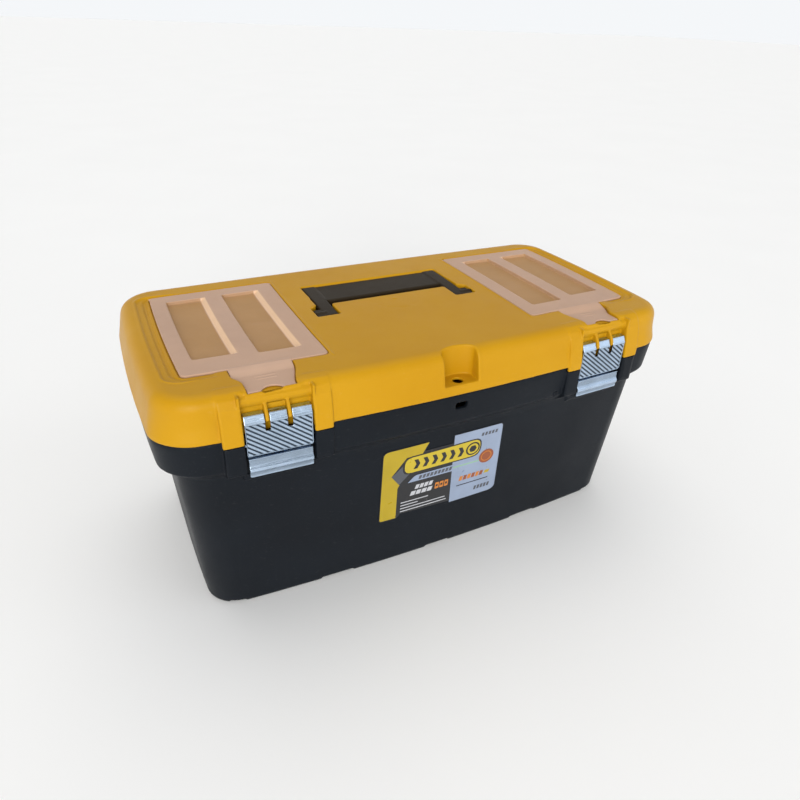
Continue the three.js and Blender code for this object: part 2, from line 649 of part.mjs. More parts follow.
addPiece('tub', tub(), BLACK);
addPiece('lid', lid(), YELLOW);
addPiece('carry_handle', carryHandle(), HANDLE_BLACK);
addPiece('front_label', frontLabel(), PRINT);
addPiece('tray', tray(), YELLOW);
addPiece('tray_handle', trayHandle(), HANDLE_BLACK);

[['left', -1], ['right', 1]].forEach(([side, hand]) => {
  addPiece(`organiser_cover_${side}`, organiserCover(hand), CLEAR);
  addPiece(`organiser_divider_${side}_inner`, organiserDivider(hand, 'inner'), CLEAR);
  addPiece(`organiser_divider_${side}_outer`, organiserDivider(hand, 'outer'), CLEAR);
  addPiece(`latch_hook_${side}`, latchHook(), STEEL, bayMatrix(hand));
  addPiece(`latch_lever_${side}`, latchLever(), STEEL, bayMatrix(hand));
  addPiece(`lever_pin_${side}`, barX(-35.5, 35.5, LEVER_PIVOT.v, LEVER_PIVOT.z, LEVER_PIVOT.pin, 12), STEEL,
    bayMatrix(hand));
  addPiece(`hook_pin_${side}`, barX(-27.6, 27.6, HOOK_PIVOT.v, HOOK_PIVOT.z, HOOK_PIVOT.pin, 12), STEEL,
    bayMatrix(hand));
  const hingeX = hand * HINGE_X;
  addPiece(`hinge_pin_${side}`, barX(hingeX - HINGE_HALF, hingeX + HINGE_HALF, HINGE.y, HINGE.z, HINGE.pin), STEEL);
  addPiece(`tray_divider_${side}_front`, trayDivider(hand, 'front'), CLEAR);
  addPiece(`tray_divider_${side}_back`, trayDivider(hand, 'back'), CLEAR);
});

export default toolbox;
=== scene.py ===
"""Looks of a plastic toolbox: moulded skins made from signed distance fields, sheet-metal latches, label, studio.

Sizes are millimetres in the CAD model's own frame until to_metres() places them: +X along the box, -Y the front.
A field is an array of signed distances over a block of space: negative inside the material.
"""

import json
import math

import bmesh
import bpy
import numpy as np
import openvdb
from mathutils import Matrix


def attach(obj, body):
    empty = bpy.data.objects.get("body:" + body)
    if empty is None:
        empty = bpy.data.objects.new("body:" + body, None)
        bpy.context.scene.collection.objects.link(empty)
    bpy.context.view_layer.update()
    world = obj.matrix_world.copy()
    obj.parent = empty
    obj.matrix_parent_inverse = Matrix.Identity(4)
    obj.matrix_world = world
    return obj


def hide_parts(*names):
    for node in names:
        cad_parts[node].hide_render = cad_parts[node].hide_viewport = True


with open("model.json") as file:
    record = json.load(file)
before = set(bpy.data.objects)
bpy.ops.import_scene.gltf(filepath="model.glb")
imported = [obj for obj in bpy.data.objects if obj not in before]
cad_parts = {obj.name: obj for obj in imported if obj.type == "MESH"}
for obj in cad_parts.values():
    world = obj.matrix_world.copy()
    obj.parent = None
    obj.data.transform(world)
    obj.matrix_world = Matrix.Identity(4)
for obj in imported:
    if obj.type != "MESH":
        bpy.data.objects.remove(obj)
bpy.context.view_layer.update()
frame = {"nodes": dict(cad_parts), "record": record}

# ---------------------------------------------------------------- driving dimensions

HALF_LENGTH, HALF_DEPTH = 280.0, 141.5
PARTING = 210.5
PANEL_TOP = 251.3
CORNER_RADIUS = 36.0
FRONT_BOW, BACK_BOW, END_BOW = 15.0, 3.0, 5.0
SHIFT_Y = -4.15

# Height, inset of the ends, inset of the long sides.
LID_SIDE = [(200, 0, 0.15), (213.6, 0, 0.15), (215.6, 0.6, 0.7), (224, 2.4, 2.4), (238, 5.3, 5.3), (256, 9.2, 9.2)]
LID_CORE = [(190, 3.2, 3.2), (212, 3.4, 3.4), (224, 5.4, 5.4), (238, 8.4, 8.4), (256, 12.2, 12.2)]
TUB_SIDE = [(-4, 31, 24), (0, 30, 23), (169.5, 17, 10), (178, 3.4, 3.4), (206, 0.9, 1.0), (220, 0.8, 0.9)]
TUB_CORE = [(-4, 34.4, 27.4), (168, 20.5, 13.5), (182, 8.5, 7.5), (214, 6.2, 6.2), (224, 6.2, 6.2)]
TRAY_SIDE = [(120, 38, 33), (173, 24, 21), (174.6, 15, 15), (178, 12.5, 15), (190, 12.5, 15)]
TRAY_CORE = [(120, 41, 36), (190, 23, 20)]
TUB_TOP = PARTING - 0.3

LATCH_X, LATCH_Y = 175.9, -136.1
LATCH_TILT = math.radians(2.2)
BAY_HALF, BAY_DEPTH = 30.5, 9.5
RIB_U = 9.6
HOOK_HALF, LEVER_HALF, KNUCKLE_HALF = 28.9, 28.2, 13.5
LEVER_PIVOT = (4.3, 202.0, 1.6)
HOOK_PIVOT = (3.9, 194.5, 1.1)
HOOK_FOOT = 192.4
HOOK_RIB_SLANT, HOOK_RIB_PITCH = math.radians(38), 3.65
SHEET = 1.2
PIN_SIDES = 40

HINGE_X = 165.0
HINGE_Y, HINGE_Z, HINGE_KNUCKLE, HINGE_PIN = 145.2, 208.5, 4.6, 2.0

COVER = (113.5, 244.0, -90.0, 102.2)
COVER_BOTTOM, COVER_TOP = 249.2, 251.6
COVER_AXIS_Y, COVER_AXIS_Z, COVER_PIN = 99.8, 249.8, 1.4
TONGUE = (155.9, 197.4, -125.2)
TONGUE_BOTTOM, TONGUE_TOP = 246.9, 248.6
WINDOWS = [(136.0, 171.0, -66.0, 84.0), (193.5, 228.5, -60.0, 84.0)]
WELL = (119.0, 239.0, -80.0, 94.0)
WELL_FLOOR = 215.5
LANE_WALL_X = 182.0
SEAT_UNDERSIDE = 243.8
LID_CEILING = 246.4
# The slot that the tongue's catch drops into, and how deep it goes.
CATCH_SLOT, CATCH_SLOT_FLOOR = (168.2, 185.2, -127.2, -123.0), 240.5
NICHE_HALF, NICHE_BACK, NICHE_STRAIGHT, NICHE_FLOOR = 18.0, -119.0, -128.0, 220.5

GRIP_Y = (32.0, 74.2)
ARM_X = (69.4, 84.0)
HANDLE_Z = (240.5, 250.8)
HANDLE_AXIS = (3.0, 245.6, 4.0)
RECESS_FLOOR = 226.0

LABEL_X, LABEL_Z = (-76.0, 66.0), (63.0, 157.0)
LABEL_THICKNESS = 0.4
# Prints are split every few millimetres so that they follow the curved wall.
PRINT_SPLIT = 6.0
HANDS = {"left": -1, "right": 1}

# The camera: turns in degrees, place in millimetres, lens for a sensor 36 mm wide.
CAMERA_TURNS = (-27.59, 30.95, 2.30)
CAMERA_PLACE = (-294.2, -577.2, 515.0)
CAMERA_LENS, CAMERA_SENSOR = 28.84, 36


def to_metres(points):
    """Places model points, in millimetres, in the frame."""
    moved = np.array(points, dtype=float)
    moved[:, 1] += SHIFT_Y
    return moved / 1000.0


# ---------------------------------------------------------------- signed distance fields

class Block:
    """A box of space sampled every pitch millimetres."""

    def __init__(self, low, high, pitch):
        counts = [int(math.ceil((b - a) / pitch)) + 1 for a, b in zip(low, high)]
        self.low = np.array(low, dtype=float)
        self.pitch = pitch
        x, y, z = (a + pitch * np.arange(n, dtype=np.float32) for a, n in zip(low, counts))
        self.x, self.y, self.z = x[:, None, None], y[None, :, None], z[None, None, :]

    def window(self, field, low, high):
        """A smaller block between two corners, and the view of the field over it."""
        spans = []
        for axis in range(3):
            size = field.shape[axis]
            first = max(0, int((low[axis] - self.low[axis]) / self.pitch))
            last = min(size, int((high[axis] - self.low[axis]) / self.pitch) + 2)
            spans.append(slice(first, last))
        part = Block.__new__(Block)
        part.pitch = self.pitch
        part.low = self.low + self.pitch * np.array([s.start for s in spans])
        part.x, part.y, part.z = self.x[spans[0]], self.y[:, spans[1]], self.z[:, :, spans[2]]
        return part, field[tuple(spans)]


def join(a, b, soft=0.0):
    if not soft:
        return np.minimum(a, b)
    h = np.clip(0.5 + 0.5 * (b - a) / soft, 0, 1)
    return b + (a - b) * h - soft * h * (1 - h)


def common(a, b, soft=0.0):
    return -join(-a, -b, soft)


def cut(a, b, soft=0.0):
    return -join(-a, b, soft)


def add(view, shape, soft=0.0):
    """Joins a shape to the part of a field that a window shows."""
    view[...] = join(view, shape, soft)


def carve(view, shape, soft=0.0):
    """Cuts a shape out of the part of a field that a window shows."""
    view[...] = cut(view, shape, soft)


def between(t, low, high):
    return np.maximum(low - t, t - high)


def round_corner(px, py, radius):
    """Distance to a corner of that radius, from a point's place past the corner's centre."""
    return np.hypot(np.maximum(px, 0), np.maximum(py, 0)) + np.minimum(np.maximum(px, py), 0) - radius


def rectangle(x, y, box, radius, grow=0.0):
    """A rectangle (x0, x1, y0, y1) with round corners."""
    x0, x1, y0, y1 = box
    px = np.abs(x - (x0 + x1) / 2) - ((x1 - x0) / 2 - radius)
    py = np.abs(y - (y0 + y1) / 2) - ((y1 - y0) / 2 - radius)
    return round_corner(px, py, radius) - grow


def polygon(p, q, corners):
    distance = np.float32(1e12)
    inside = np.zeros(np.broadcast(p, q).shape, dtype=bool)
    for (ax, ay), (bx, by) in zip(corners, corners[1:] + corners[:1]):
        ex, ey = bx - ax, by - ay
        t = np.clip(((p - ax) * ex + (q - ay) * ey) / (ex * ex + ey * ey), 0, 1)
        distance = np.minimum(distance, (p - ax - ex * t) ** 2 + (q - ay - ey * t) ** 2)
        if ey:
            inside ^= ((ay > q) != (by > q)) & (p < ex * (q - ay) / ey + ax)
    return np.where(inside, -1, 1) * np.sqrt(distance)


def rod(p, q, centre, radius):
    return np.hypot(p - centre[0], q - centre[1]) - radius


def step(t, low, high):
    """0 below low, 1 above high, smooth between."""
    s = np.clip((t - low) / (high - low), 0, 1)
    return s * s * (3 - 2 * s)


def unbowed(x, y, front=FRONT_BOW):
    """Where a point of the bowed box lies on the straight one."""
    u, v = x, y
    for _ in range(3):
        u = x / (1 - END_BOW / HALF_LENGTH * (v / HALF_DEPTH) ** 2)
        v = y / (1 - np.where(y < 0, front, BACK_BOW) / HALF_DEPTH * (u / HALF_LENGTH) ** 2)
    return u, v


def side_wall(block, levels, front=FRONT_BOW, crease=2.0):
    """The box's outline drawn in by insets that follow the height."""
    heights, ends, sides = np.array(levels, dtype=np.float32).T
    blur = np.linspace(-crease, crease, 7)
    end = sum(np.interp(block.z + d, heights, ends) for d in blur) / len(blur)
    side = sum(np.interp(block.z + d, heights, sides) for d in blur) / len(blur)
    u, v = unbowed(block.x, block.y, front)
    radius = CORNER_RADIUS - 0.25 * side
    px = np.abs(u) - (HALF_LENGTH - end - radius)
    py = np.abs(v) - (HALF_DEPTH - side - radius)
    return round_corner(px, py, radius).astype(np.float32)


def on_side(hand, x, y, z):
    """Low and high corners of a box, its spans given for the right-hand side."""
    ends = sorted((hand * x[0], hand * x[1]))
    return (ends[0], y[0], z[0]), (ends[1], y[1], z[1])


def bay_frame(x, y, hand):
    """Along and into a latch bay's own frame, tangent to the bowed front."""
    c, s = math.cos(LATCH_TILT), math.sin(hand * LATCH_TILT)
    dx, dy = x - hand * LATCH_X, y - LATCH_Y
    return c * dx + s * dy, c * dy - s * dx


# ---------------------------------------------------------------- fields to meshes

def sampled(field, places):
    """The field's values at fractional grid places."""
    top = np.array(field.shape) - 2
    base = np.clip(places.astype(int), 0, top)
    t = np.clip(places - base, 0, 1)
    total = 0
    for corner in np.ndindex(2, 2, 2):
        weight = np.prod(np.where(corner, t, 1 - t), axis=1)
        i, j, k = (base + corner).T
        total = total + weight * field[i, j, k]
    return total


def field_normals(field, places):
    reach = np.eye(3) * 0.6
    slope = [sampled(field, places + d) - sampled(field, places - d) for d in reach]
    normals = np.stack(slope, axis=1)
    return normals / np.maximum(np.linalg.norm(normals, axis=1, keepdims=True), 1e-9)


def moulded(name, block, field, detail=0.012, place=None, marks=None):
    """A mesh of the field's surface, shaded with the field's own normals."""
    edge = 3 * block.pitch
    solid = np.clip(field, -edge, edge).astype(np.float32)
    for axis in range(3):
        ends = np.moveaxis(solid, axis, 0)
        ends[0] = edge
        ends[-1] = edge
    grid = openvdb.FloatGrid(edge)
    grid.copyFromArray(np.ascontiguousarray(solid))
    points, triangles, quads = grid.convertToPolygons(isovalue=0.0, adaptivity=detail)
    normals = field_normals(solid, points)
    points = points * block.pitch + block.low
    values = marks(points) if marks else None
    if place is not None:
        turn = np.array(place.to_3x3())
        points = points @ turn.T + np.array(place.translation)
        normals = normals @ turn.T
    mesh = bpy.data.meshes.new(name)
    faces = [tuple(face) for face in quads.tolist()] + [tuple(face) for face in triangles.tolist()]
    mesh.from_pydata(to_metres(points).tolist(), [], faces)
    mesh.polygons.foreach_set("use_smooth", [True] * len(mesh.polygons))
    mesh.normals_split_custom_set_from_vertices(normals.tolist())
    if marks:
        mesh.attributes.new("mark", "FLOAT", "POINT").data.foreach_set("value", values)
    return placed(name, mesh)


def placed(name, data):
    """A new object in the scene."""
    made = bpy.data.objects.new(name, data)
    bpy.context.collection.objects.link(made)
    return made


def fit(piece, node, material):
    """Puts a piece in a CAD node's place, on that node's body."""
    body = next(b for b, members in frame["record"]["behaviour"]["bodies"].items() if node in members)
    piece.data.materials.clear()
    piece.data.materials.append(material)
    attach(piece, body)
    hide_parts(node)


# ---------------------------------------------------------------- lid

def lid_relief(u, v):
    """Height of the lid's top: flat, with beads beside the covers, stepped pans round them and a gate mark."""
    side = np.abs(u)
    top = PANEL_TOP + 0 * (u + v)
    bead = np.exp(-((side - 111.2) / 0.9) ** 2) * step(v, -97, -92) * (1 - step(v, 103, 107))
    top = top + 0.65 * bead
    for reach, front, depth in ((258.4, -99.4, 1.3), (252.0, -94.5, 1.2)):
        pan = rectangle(side, v, (180.0, reach, front, 107.0), 14.0)
        top = top - depth * step(-pan, 0.0, 1.5) * step(side, 212, 226)
    crest = rectangle(side, v, (150.0, 259.6, -100.6, 108.6), 15.0)
    top = top + 0.65 * np.exp(-(crest / 1.2) ** 2) * step(side, 222, 240)
    gate = np.hypot(u, v - 8.4)
    top = top + 0.45 * (1 - step(gate, 1.6, 2.4)) - 0.12 * np.exp(-((gate - 26) / 0.8) ** 2)
    return top


def lid_wells(block, field, hand):
    part, view = block.window(field, *on_side(hand, (100, 262), (-132, 112), (200, 260)))
    u, v = unbowed(part.x, part.y)
    u = hand * u
    z = part.z
    add(view, common(rectangle(u, v, WELL, 8, 2), between(z, WELL_FLOOR - 2, 249)), 1.2)
    add(view, common(rectangle(u, v, COVER, 6, 3.4), between(z, SEAT_UNDERSIDE, 250)), 1.0)
    shelf = common(tongue_plan(hand * part.x, part.y, 2.8), between(z, SEAT_UNDERSIDE, 249.0))
    add(view, np.maximum(shelf, skin_of(part)), 0.8)
    carve(view, common(rectangle(u, v, WELL, 6), WELL_FLOOR - z, 1.2), 0.8)
    carve(view, common(rectangle(u, v, COVER, 5, 0.6), COVER_BOTTOM - 0.5 - z), 0.5)
    behind = rectangle(u, v, (COVER[0], COVER[1], COVER[2], COVER[3] + 1.2), 5, 0.6)
    groove = np.maximum(rod(part.y, z, (COVER_AXIS_Y, COVER_AXIS_Z), 3.9), behind)
    carve(view, groove, 0.3)
    slot = common(tongue_plan(hand * part.x, part.y, 0.6), TONGUE_BOTTOM - 0.5 - z)
    carve(view, slot, 0.4)
    catch = rectangle(hand * part.x, part.y, CATCH_SLOT, 1.2)
    carve(view, np.maximum(catch, CATCH_SLOT_FLOOR - z))
    lane = rectangle(u, v, (LANE_WALL_X - 1, LANE_WALL_X + 1, -81, 95), 0.5)
    add(view, common(lane, between(z, 215, 244), 0.5), 1.2)
    for y, walls in ((22, (WELL[0], LANE_WALL_X - 2.2)), (-18, (LANE_WALL_X + 0.8, WELL[1] - 1.4))):
        for x in walls:
            for offset in (-2.6, 1.4):
                guide = rectangle(u, v, (x - 0.4, x + 1.8, y + offset, y + offset + 1.2), 0.4)
                add(view, np.maximum(guide, between(z, 215, 242)), 0.4)


def recess_plan(x, y):
    """The U-shaped recess that the handle folds into, with a finger well beside each arm's end."""
    side = np.abs(x)
    grip = rectangle(side, y, (-84.8, 84.8, 20.0, 75.0), 2.5)
    arm = rectangle(side, y, (68.6, 84.8, -8.0, 40.0), 2.0)
    well = polygon(side, y, [(80.0, -8.0), (93.7, -8.0), (93.7, 14.0), (84.0, 22.5), (80.0, 22.5)])
    return join(join(grip, arm, 3.0), well)


def lid_recess(block, field):
    part, view = block.window(field, (-104, -16, 215), (104, 84, 260))
    plan = recess_plan(part.x, part.y)
    add(view, common(plan - 2.5, between(part.z, RECESS_FLOOR - 2.5, 250)), 1.0)
    carve(view, common(plan, RECESS_FLOOR - part.z, 1.0), 1.1)
    bore = np.maximum(rod(part.y, part.z, HANDLE_AXIS[:2], 4.3), between(np.abs(part.x), 84, 103))
    carve(view, bore)


def lid_bay(block, field, hand):
    """Pilasters either side of a latch, and between them the ledge, the catch and its two ribs."""
    part, view = block.window(field, *on_side(hand, (120, 232), (-152, -108), (200, 260)))
    u, v = bay_frame(part.x, part.y, hand)
    z = part.z
    side = np.abs(u)
    pilaster = polygon(v, z, [(-2.0, 206), (-1.9, 214), (0, 228), (2.8, 240), (6.5, 246.5), (12, 250.6),
                              (20, 251.3), (20, 247), (10, 244), (5, 232), (3.6, 214), (1.4, 210.5), (1.4, 206)])
    tall = common(pilaster, between(side, BAY_HALF - 4, 47.8 + 0.6 * hand * np.sign(u)), 1.6)
    add(view, tall, 1.2)
    carve(view, np.maximum(side - BAY_HALF, v - BAY_DEPTH), 1.0)
    inside = side - BAY_HALF - 1.5
    backing = np.maximum(inside, np.maximum(between(v, BAY_DEPTH, BAY_DEPTH + 2.6), between(z, PARTING, 246)))
    web = np.maximum(between(side, BAY_HALF, BAY_HALF + 2.4), between(v, 2.4, BAY_DEPTH + 2.6))
    web = np.maximum(web, between(z, PARTING, 249))
    bead = polygon(v, z, [(10, 221), (4.8, 223.5), (4.6, 227.5), (6.2, 229.6), (10, 230)])
    ledge = polygon(v, z, [(10.5, 234.5), (7.6, 238.2), (6.2, 241.4), (6.5, 244.6), (8.6, 246.2), (25, 246.2),
                           (25, 243.4), (10.5, 240)])
    rib = polygon(v, z, [(10, 223.6), (0.4, 224), (-0.8, 226), (0.6, 231), (7.2, 240), (10, 240)])
    rib = common(rib, np.abs(side - RIB_U) - 1.5, 0.7)
    add(view, np.minimum(backing, web), 0.8)
    add(view, np.maximum(bead, inside), 1.0)
    add(view, np.maximum(ledge - 0.2, inside), 1.0)
    add(view, rib, 0.7)
    scoop = np.maximum(np.maximum(side - 8.6, between(v, 8.4, 18)), 236.0 - z)
    carve(view, scoop, 0.6)


def arch(x, y, half, back, straight):
    """An arch in plan, open to the front."""
    low = np.maximum(np.abs(x) - half, y - straight)
    scale = (back - straight) / half
    round_back = (np.hypot(x, np.maximum(y - straight, 0) / scale) - half) * min(1.0, scale)
    return np.where(y < straight, np.minimum(low, round_back), round_back)


def lid_niche(block, field):
    """The padlock niche: a half-round pocket in the front with a hole through its floor."""
    part, view = block.window(field, (-28, -152, 205), (28, -104, 260))
    pocket = arch(part.x, part.y, NICHE_HALF, NICHE_BACK, NICHE_STRAIGHT)
    outer = arch(part.x, part.y, NICHE_HALF + 2.5, NICHE_BACK + 2.5, NICHE_STRAIGHT)
    wall = common(outer, between(part.z, NICHE_FLOOR - 2.5, 251))
    add(view, common(wall, skin_of(part)), 0.8)
    carve(view, common(pocket, NICHE_FLOOR - part.z, 1.2), 1.4)
    hole = np.maximum(rod(part.x, part.y, (0, -130.5), 5.0), 214 - part.z)
    carve(view, np.maximum(hole, part.z - 224), 0.5)


def lid_front_bow(z):
    """The front's bow fades out towards the top, where its edge is nearly straight."""
    return FRONT_BOW * (1 - 0.4 * step(z, 222.0, 252.0))


def skin_of(part):
    """The lid's solid outer form."""
    u, v = unbowed(part.x, part.y)
    wall = side_wall(part, LID_SIDE, lid_front_bow(part.z), 1.0)
    return common(wall, part.z - lid_relief(u, v), 13.0)


def hinge_lugs(block, field, spans, web):
    part, view = block.window(field, (-200, 128, 190), (200, 156, 232))
    side = np.abs(np.abs(part.x) - HINGE_X)
    along = between(side, *spans)
    barrel = common(rod(part.y, part.z, (HINGE_Y, HINGE_Z), HINGE_KNUCKLE - 0.1), along, 0.5)
    add(view, np.minimum(barrel, common(polygon(part.y, part.z, web), along, 0.5)), 1.0)
    pin_hole = np.maximum(rod(part.y, part.z, (HINGE_Y, HINGE_Z), HINGE_PIN + 0.25), side - 40)
    carve(view, pin_hole)


def make_lid(plastic):
    block = Block((-283, -148, 202), (283, 154, 256), 0.9)
    field = common(skin_of(block), PARTING - block.z, 0.8)
    core = common(side_wall(block, LID_CORE, lid_front_bow(block.z)), block.z - LID_CEILING, 14.0)
    field = cut(field, core)
    lid_niche(block, field)
    lid_recess(block, field)
    for hand in HANDS.values():
        lid_bay(block, field, hand)
        lid_wells(block, field, hand)
    web = [(137, 212), (137, 221), (140, 221), (148, 211.5), (148.6, 209), (144, 210)]
    hinge_lugs(block, field, (-1, 12.8), web)
    fit(moulded("lid_shell", block, field), "lid", plastic)


# ---------------------------------------------------------------- tub

def tub_bay(block, field, hand):
    part, view = block.window(field, *on_side(hand, (118, 236), (-152, -108), (150, 216)))
    u, v = bay_frame(part.x, part.y, hand)
    z = part.z
    side = np.abs(u)
    backing = np.maximum(between(v, BAY_DEPTH - 1, 12.5), between(z, 162, 209.8))
    add(view, np.maximum(side - BAY_HALF - 2, backing), 1.0)
    pilaster = polygon(v, z, [(-2.0, 177), (-2.0, 210), (13, 210), (13, 166), (7.6, 169.5)])
    add(view, common(pilaster, between(side, BAY_HALF - 3, 47.5), 1.6), 1.4)
    floor = 169.5 + 0.5 * (BAY_DEPTH - v)
    carve(view, np.maximum(np.maximum(side - BAY_HALF, v - BAY_DEPTH), floor - z), 1.0)
    carve(view, np.maximum(np.maximum(side - 47.9, v - 1.8), 205.6 - z))
    bore = np.maximum(rod(v, z, LEVER_PIVOT[:2], LEVER_PIVOT[2] + 0.25), side - 36)
    carve(view, bore)
    dent = polygon(hand * part.x, z, [(115.5, 183.0), (122.5, 183.0), (119.5, 174.5)])
    if hand > 0:
        carve(view, np.maximum(dent, part.y + 133.5), 0.8)


def make_tub(plastic):
    block = Block((-283, -148, -2), (283, 154, 215), 1.25)
    z = block.z
    outer = common(common(side_wall(block, TUB_SIDE, crease=1.2), -z, 5.0), z - TUB_TOP, 0.6)
    field = cut(outer, common(side_wall(block, TUB_CORE), 5.5 - z, 8.0), 0.8)
    part, view = block.window(field, (-283, -148, 200), (283, 154, 215))
    ring = side_wall(part, [(0, 0, 0), (300, 0, 0)])
    ring = np.maximum(np.maximum(ring + 4.4, -ring - 6.2), between(part.z, 204, 213))
    add(view, ring, 0.5)
    for hand in HANDS.values():
        tub_bay(block, field, hand)
    feet = np.abs(block.x)
    groove = np.minimum(np.minimum(feet - 14, np.abs(feet - 119) - 17), np.abs(feet - 224) - 7)
    low, base = block.window(field, (-283, -148, -2), (283, 154, 8))
    carve(base, np.maximum(groove, low.z - 3.4), 2.0)
    web = [(136, 199.5), (145, 201), (149, 207), (145, 209.5), (136, 208)]
    hinge_lugs(block, field, (13.3, 27.0), web)
    part, view = block.window(field, (-20, -150, 186), (24, -126, 208))
    slot = rectangle(part.x, part.z, (-5.0, 8.0, 193.5, 200.5), 1.5)
    carve(view, np.maximum(slot, part.y + 132.5), 0.8)
    fit(moulded("tub_shell", block, field), "tub", plastic)


# ---------------------------------------------------------------- tray

def make_tray(yellow, black):
    block = Block((-272, -134, 124), (272, 134, 182), 1.1)
    z = block.z
    outer = common(side_wall(block, TRAY_SIDE, crease=0.6), between(z, 128.2, 178), 2.0)
    core = side_wall(block, TRAY_CORE, crease=0.6)
    field = cut(outer, common(core, 130.4 - z, 3.0), 0.7)
    side = np.abs(block.x)
    lane = np.minimum(np.abs(side - 81.3) - 1, np.maximum(np.abs(block.y) - 1, 81 - side))
    walls = np.maximum(common(lane, between(z, 129, 177), 0.8), core - 1)
    fit(moulded("tray_shell", block, join(field, walls, 1.4)), "tray", yellow)

    block = Block((-84, -16, 155), (84, 16, 208), 0.9)
    arch_out = arch(block.x, block.z, 80.0, 205.0, 183.0)
    arch_in = arch(block.x, block.z, 71.0, 196.0, 181.0)
    flat = np.maximum(np.abs(block.y) - 13, 158.0 - block.z)
    handle = common(cut(arch_out, arch_in, 2.0), flat, 2.4)
    fit(moulded("tray_grip", block, handle), "tray_handle", black)


# ---------------------------------------------------------------- handle

def make_handle(plastic):
    block = Block((-98, -8, 238), (98, 78, 253), 0.7)
    side = np.abs(block.x)
    arm = rectangle(side, block.y, (ARM_X[0], ARM_X[1], -5.0, GRIP_Y[1]), 1.5)
    grip = rectangle(side, block.y, (-ARM_X[1], ARM_X[1], *GRIP_Y), 1.5)
    crown = HANDLE_Z[1] - 0.9 * step(side, ARM_X[0] + 1, ARM_X[0] - 2) - 0.0004 * (block.y - 53) ** 2
    upright = np.maximum(block.z - crown, HANDLE_Z[0] - block.z)
    plan = np.minimum(arm, grip)
    field = common(plan, upright, 2.2)
    hollow = rectangle(side, block.y, (-64.0, 64.0, GRIP_Y[0] + 3, GRIP_Y[1] - 3), 3.0)
    field = cut(field, np.maximum(hollow, block.z - 246.6), 1.0)
    stub = common(rod(block.y, block.z, HANDLE_AXIS[:2], HANDLE_AXIS[2]), between(side, 80, 95.6), 0.6)
    stub = join(stub, common(rod(block.y, block.z, HANDLE_AXIS[:2], 5.0), between(side, 80, 92.6), 0.6))
    lug = rectangle(side, block.y, (80.0, 92.4, -6.3, 12.3), 1.5)
    lug = common(lug, between(block.z, 240.8, 249.4), 1.0)
    field = join(field, np.minimum(stub, lug), 0.6)
    fit(moulded("handle_moulding", block, field), "carry_handle", plastic)


# ---------------------------------------------------------------- organiser covers

def tongue_plan(x, y, grow):
    """The cover's tongue: straight towards the middle of the box, an S-curve on the outside."""
    x0, x1, front = TONGUE
    lean = 7.9 * step(y, front, -92.0)
    flare = 6.6 * step(y, -112.0, -96.0)
    across = np.maximum(x0 - lean - grow - x, x - x1 - flare - grow)
    return np.maximum(across, between(y, front - grow, -84.0))


def cover_clearness_and_highlight(hand):
    """How much light a cover lets through, and where painted light goes: 1 in its sunken panes, which are clearer
    and carry a painted orange glow of the yellow well behind them, -1 on the sloped strips beside them, which are
    less clear and painted lighter as a painted highlight.
    """
    def marks(points):
        u, v = unbowed(points[:, 0], points[:, 1])
        u = hand * u
        value = np.zeros(len(points))
        for window in WINDOWS:
            along = between(v, window[2], window[3])
            pane = np.maximum(between(u, window[0] + 0.4, window[1]), along)
            strip = np.maximum(between(u, window[0] - 4.8, window[0]), along)
            value = value + step(-pane, -0.6, 0.6) - step(-strip, -0.6, 0.6)
        return value
    return marks


def make_cover(side, hand, plastic):
    block = Block(*on_side(hand, (108, 250), (-128, 106), (244, 253)), 0.6)
    u, v = unbowed(block.x, block.y)
    u = hand * u
    x, y, z = hand * block.x, block.y, block.z
    plate = common(rectangle(u, v, COVER, 5), between(z, COVER_BOTTOM, COVER_TOP), 0.7)
    drop = step(y, -99.0, -86.0)
    top = TONGUE_TOP + (COVER_TOP - TONGUE_TOP) * drop
    bottom = TONGUE_BOTTOM + (COVER_BOTTOM - TONGUE_BOTTOM) * drop
    for mark in (-106.0, -101.5):
        top = top + 0.4 * np.exp(-((y - mark) / 0.6) ** 2) * (np.abs(x - 176) < 9)
    tongue = common(tongue_plan(x, y, 0.0), np.maximum(z - top, bottom - z), 0.6)
    field = join(plate, tongue, 1.0)
    for window in WINDOWS:
        pan = rectangle(u, v, window, 3.0)
        slope = 1.4 * np.maximum(z - 248.2, 0)
        wall = rectangle(u, v, (window[0] - slope, *window[1:]), 3.0)
        field = join(field, np.maximum(pan - 2.0, between(z, 246.6, COVER_TOP - 0.2)), 0.5)
        field = cut(field, common(wall, 248.2 - z, 0.8), 0.9)
    finger = rod(x, y, ((TONGUE[0] + TONGUE[1]) / 2, TONGUE[2] - 4.5), 10.5)
    field = cut(field, finger, 0.6)
    along = between(u, COVER[0] - 3, COVER[1] + 0.5)
    pin = rod(y, z, (COVER_AXIS_Y, COVER_AXIS_Z), COVER_PIN)
    field = join(field, common(pin, along, 0.4), 0.3)
    piece = moulded(f"cover_{side}_plate", block, field, marks=cover_clearness_and_highlight(hand))
    fit(piece, f"organiser_cover_{side}", plastic)


# ---------------------------------------------------------------- latches

def sheet_fold(v, z, line):
    """Sheet metal whose outer face follows a line of (v, z) points, bent softly at each of them."""
    distance = None
    for (av, az), (bv, bz) in zip(line, line[1:]):
        ev, ez = bv - av, bz - az
        t = np.clip(((v - av) * ev + (z - az) * ez) / (ev * ev + ez * ez), 0, 1)
        piece = np.hypot(v - av - ev * t, z - az - ez * t)
        distance = piece if distance is None else join(distance, piece, 0.6)
    return distance - SHEET / 2


def hook_ribs(u, z):
    """Height, 0 to 1, of the fine ribs pressed across the hook, and the area they fill."""
    across = (z * math.cos(HOOK_RIB_SLANT) + u * math.sin(HOOK_RIB_SLANT)) / HOOK_RIB_PITCH
    wave = np.abs((across % 1) - 0.5) * 2
    bed = np.maximum(np.abs(u) - 28.2, between(z, HOOK_FOOT + 0.8, 223.4))
    return (1 - step(wave, 0.3, 0.8)) * step(-bed, 0, 0.5), bed


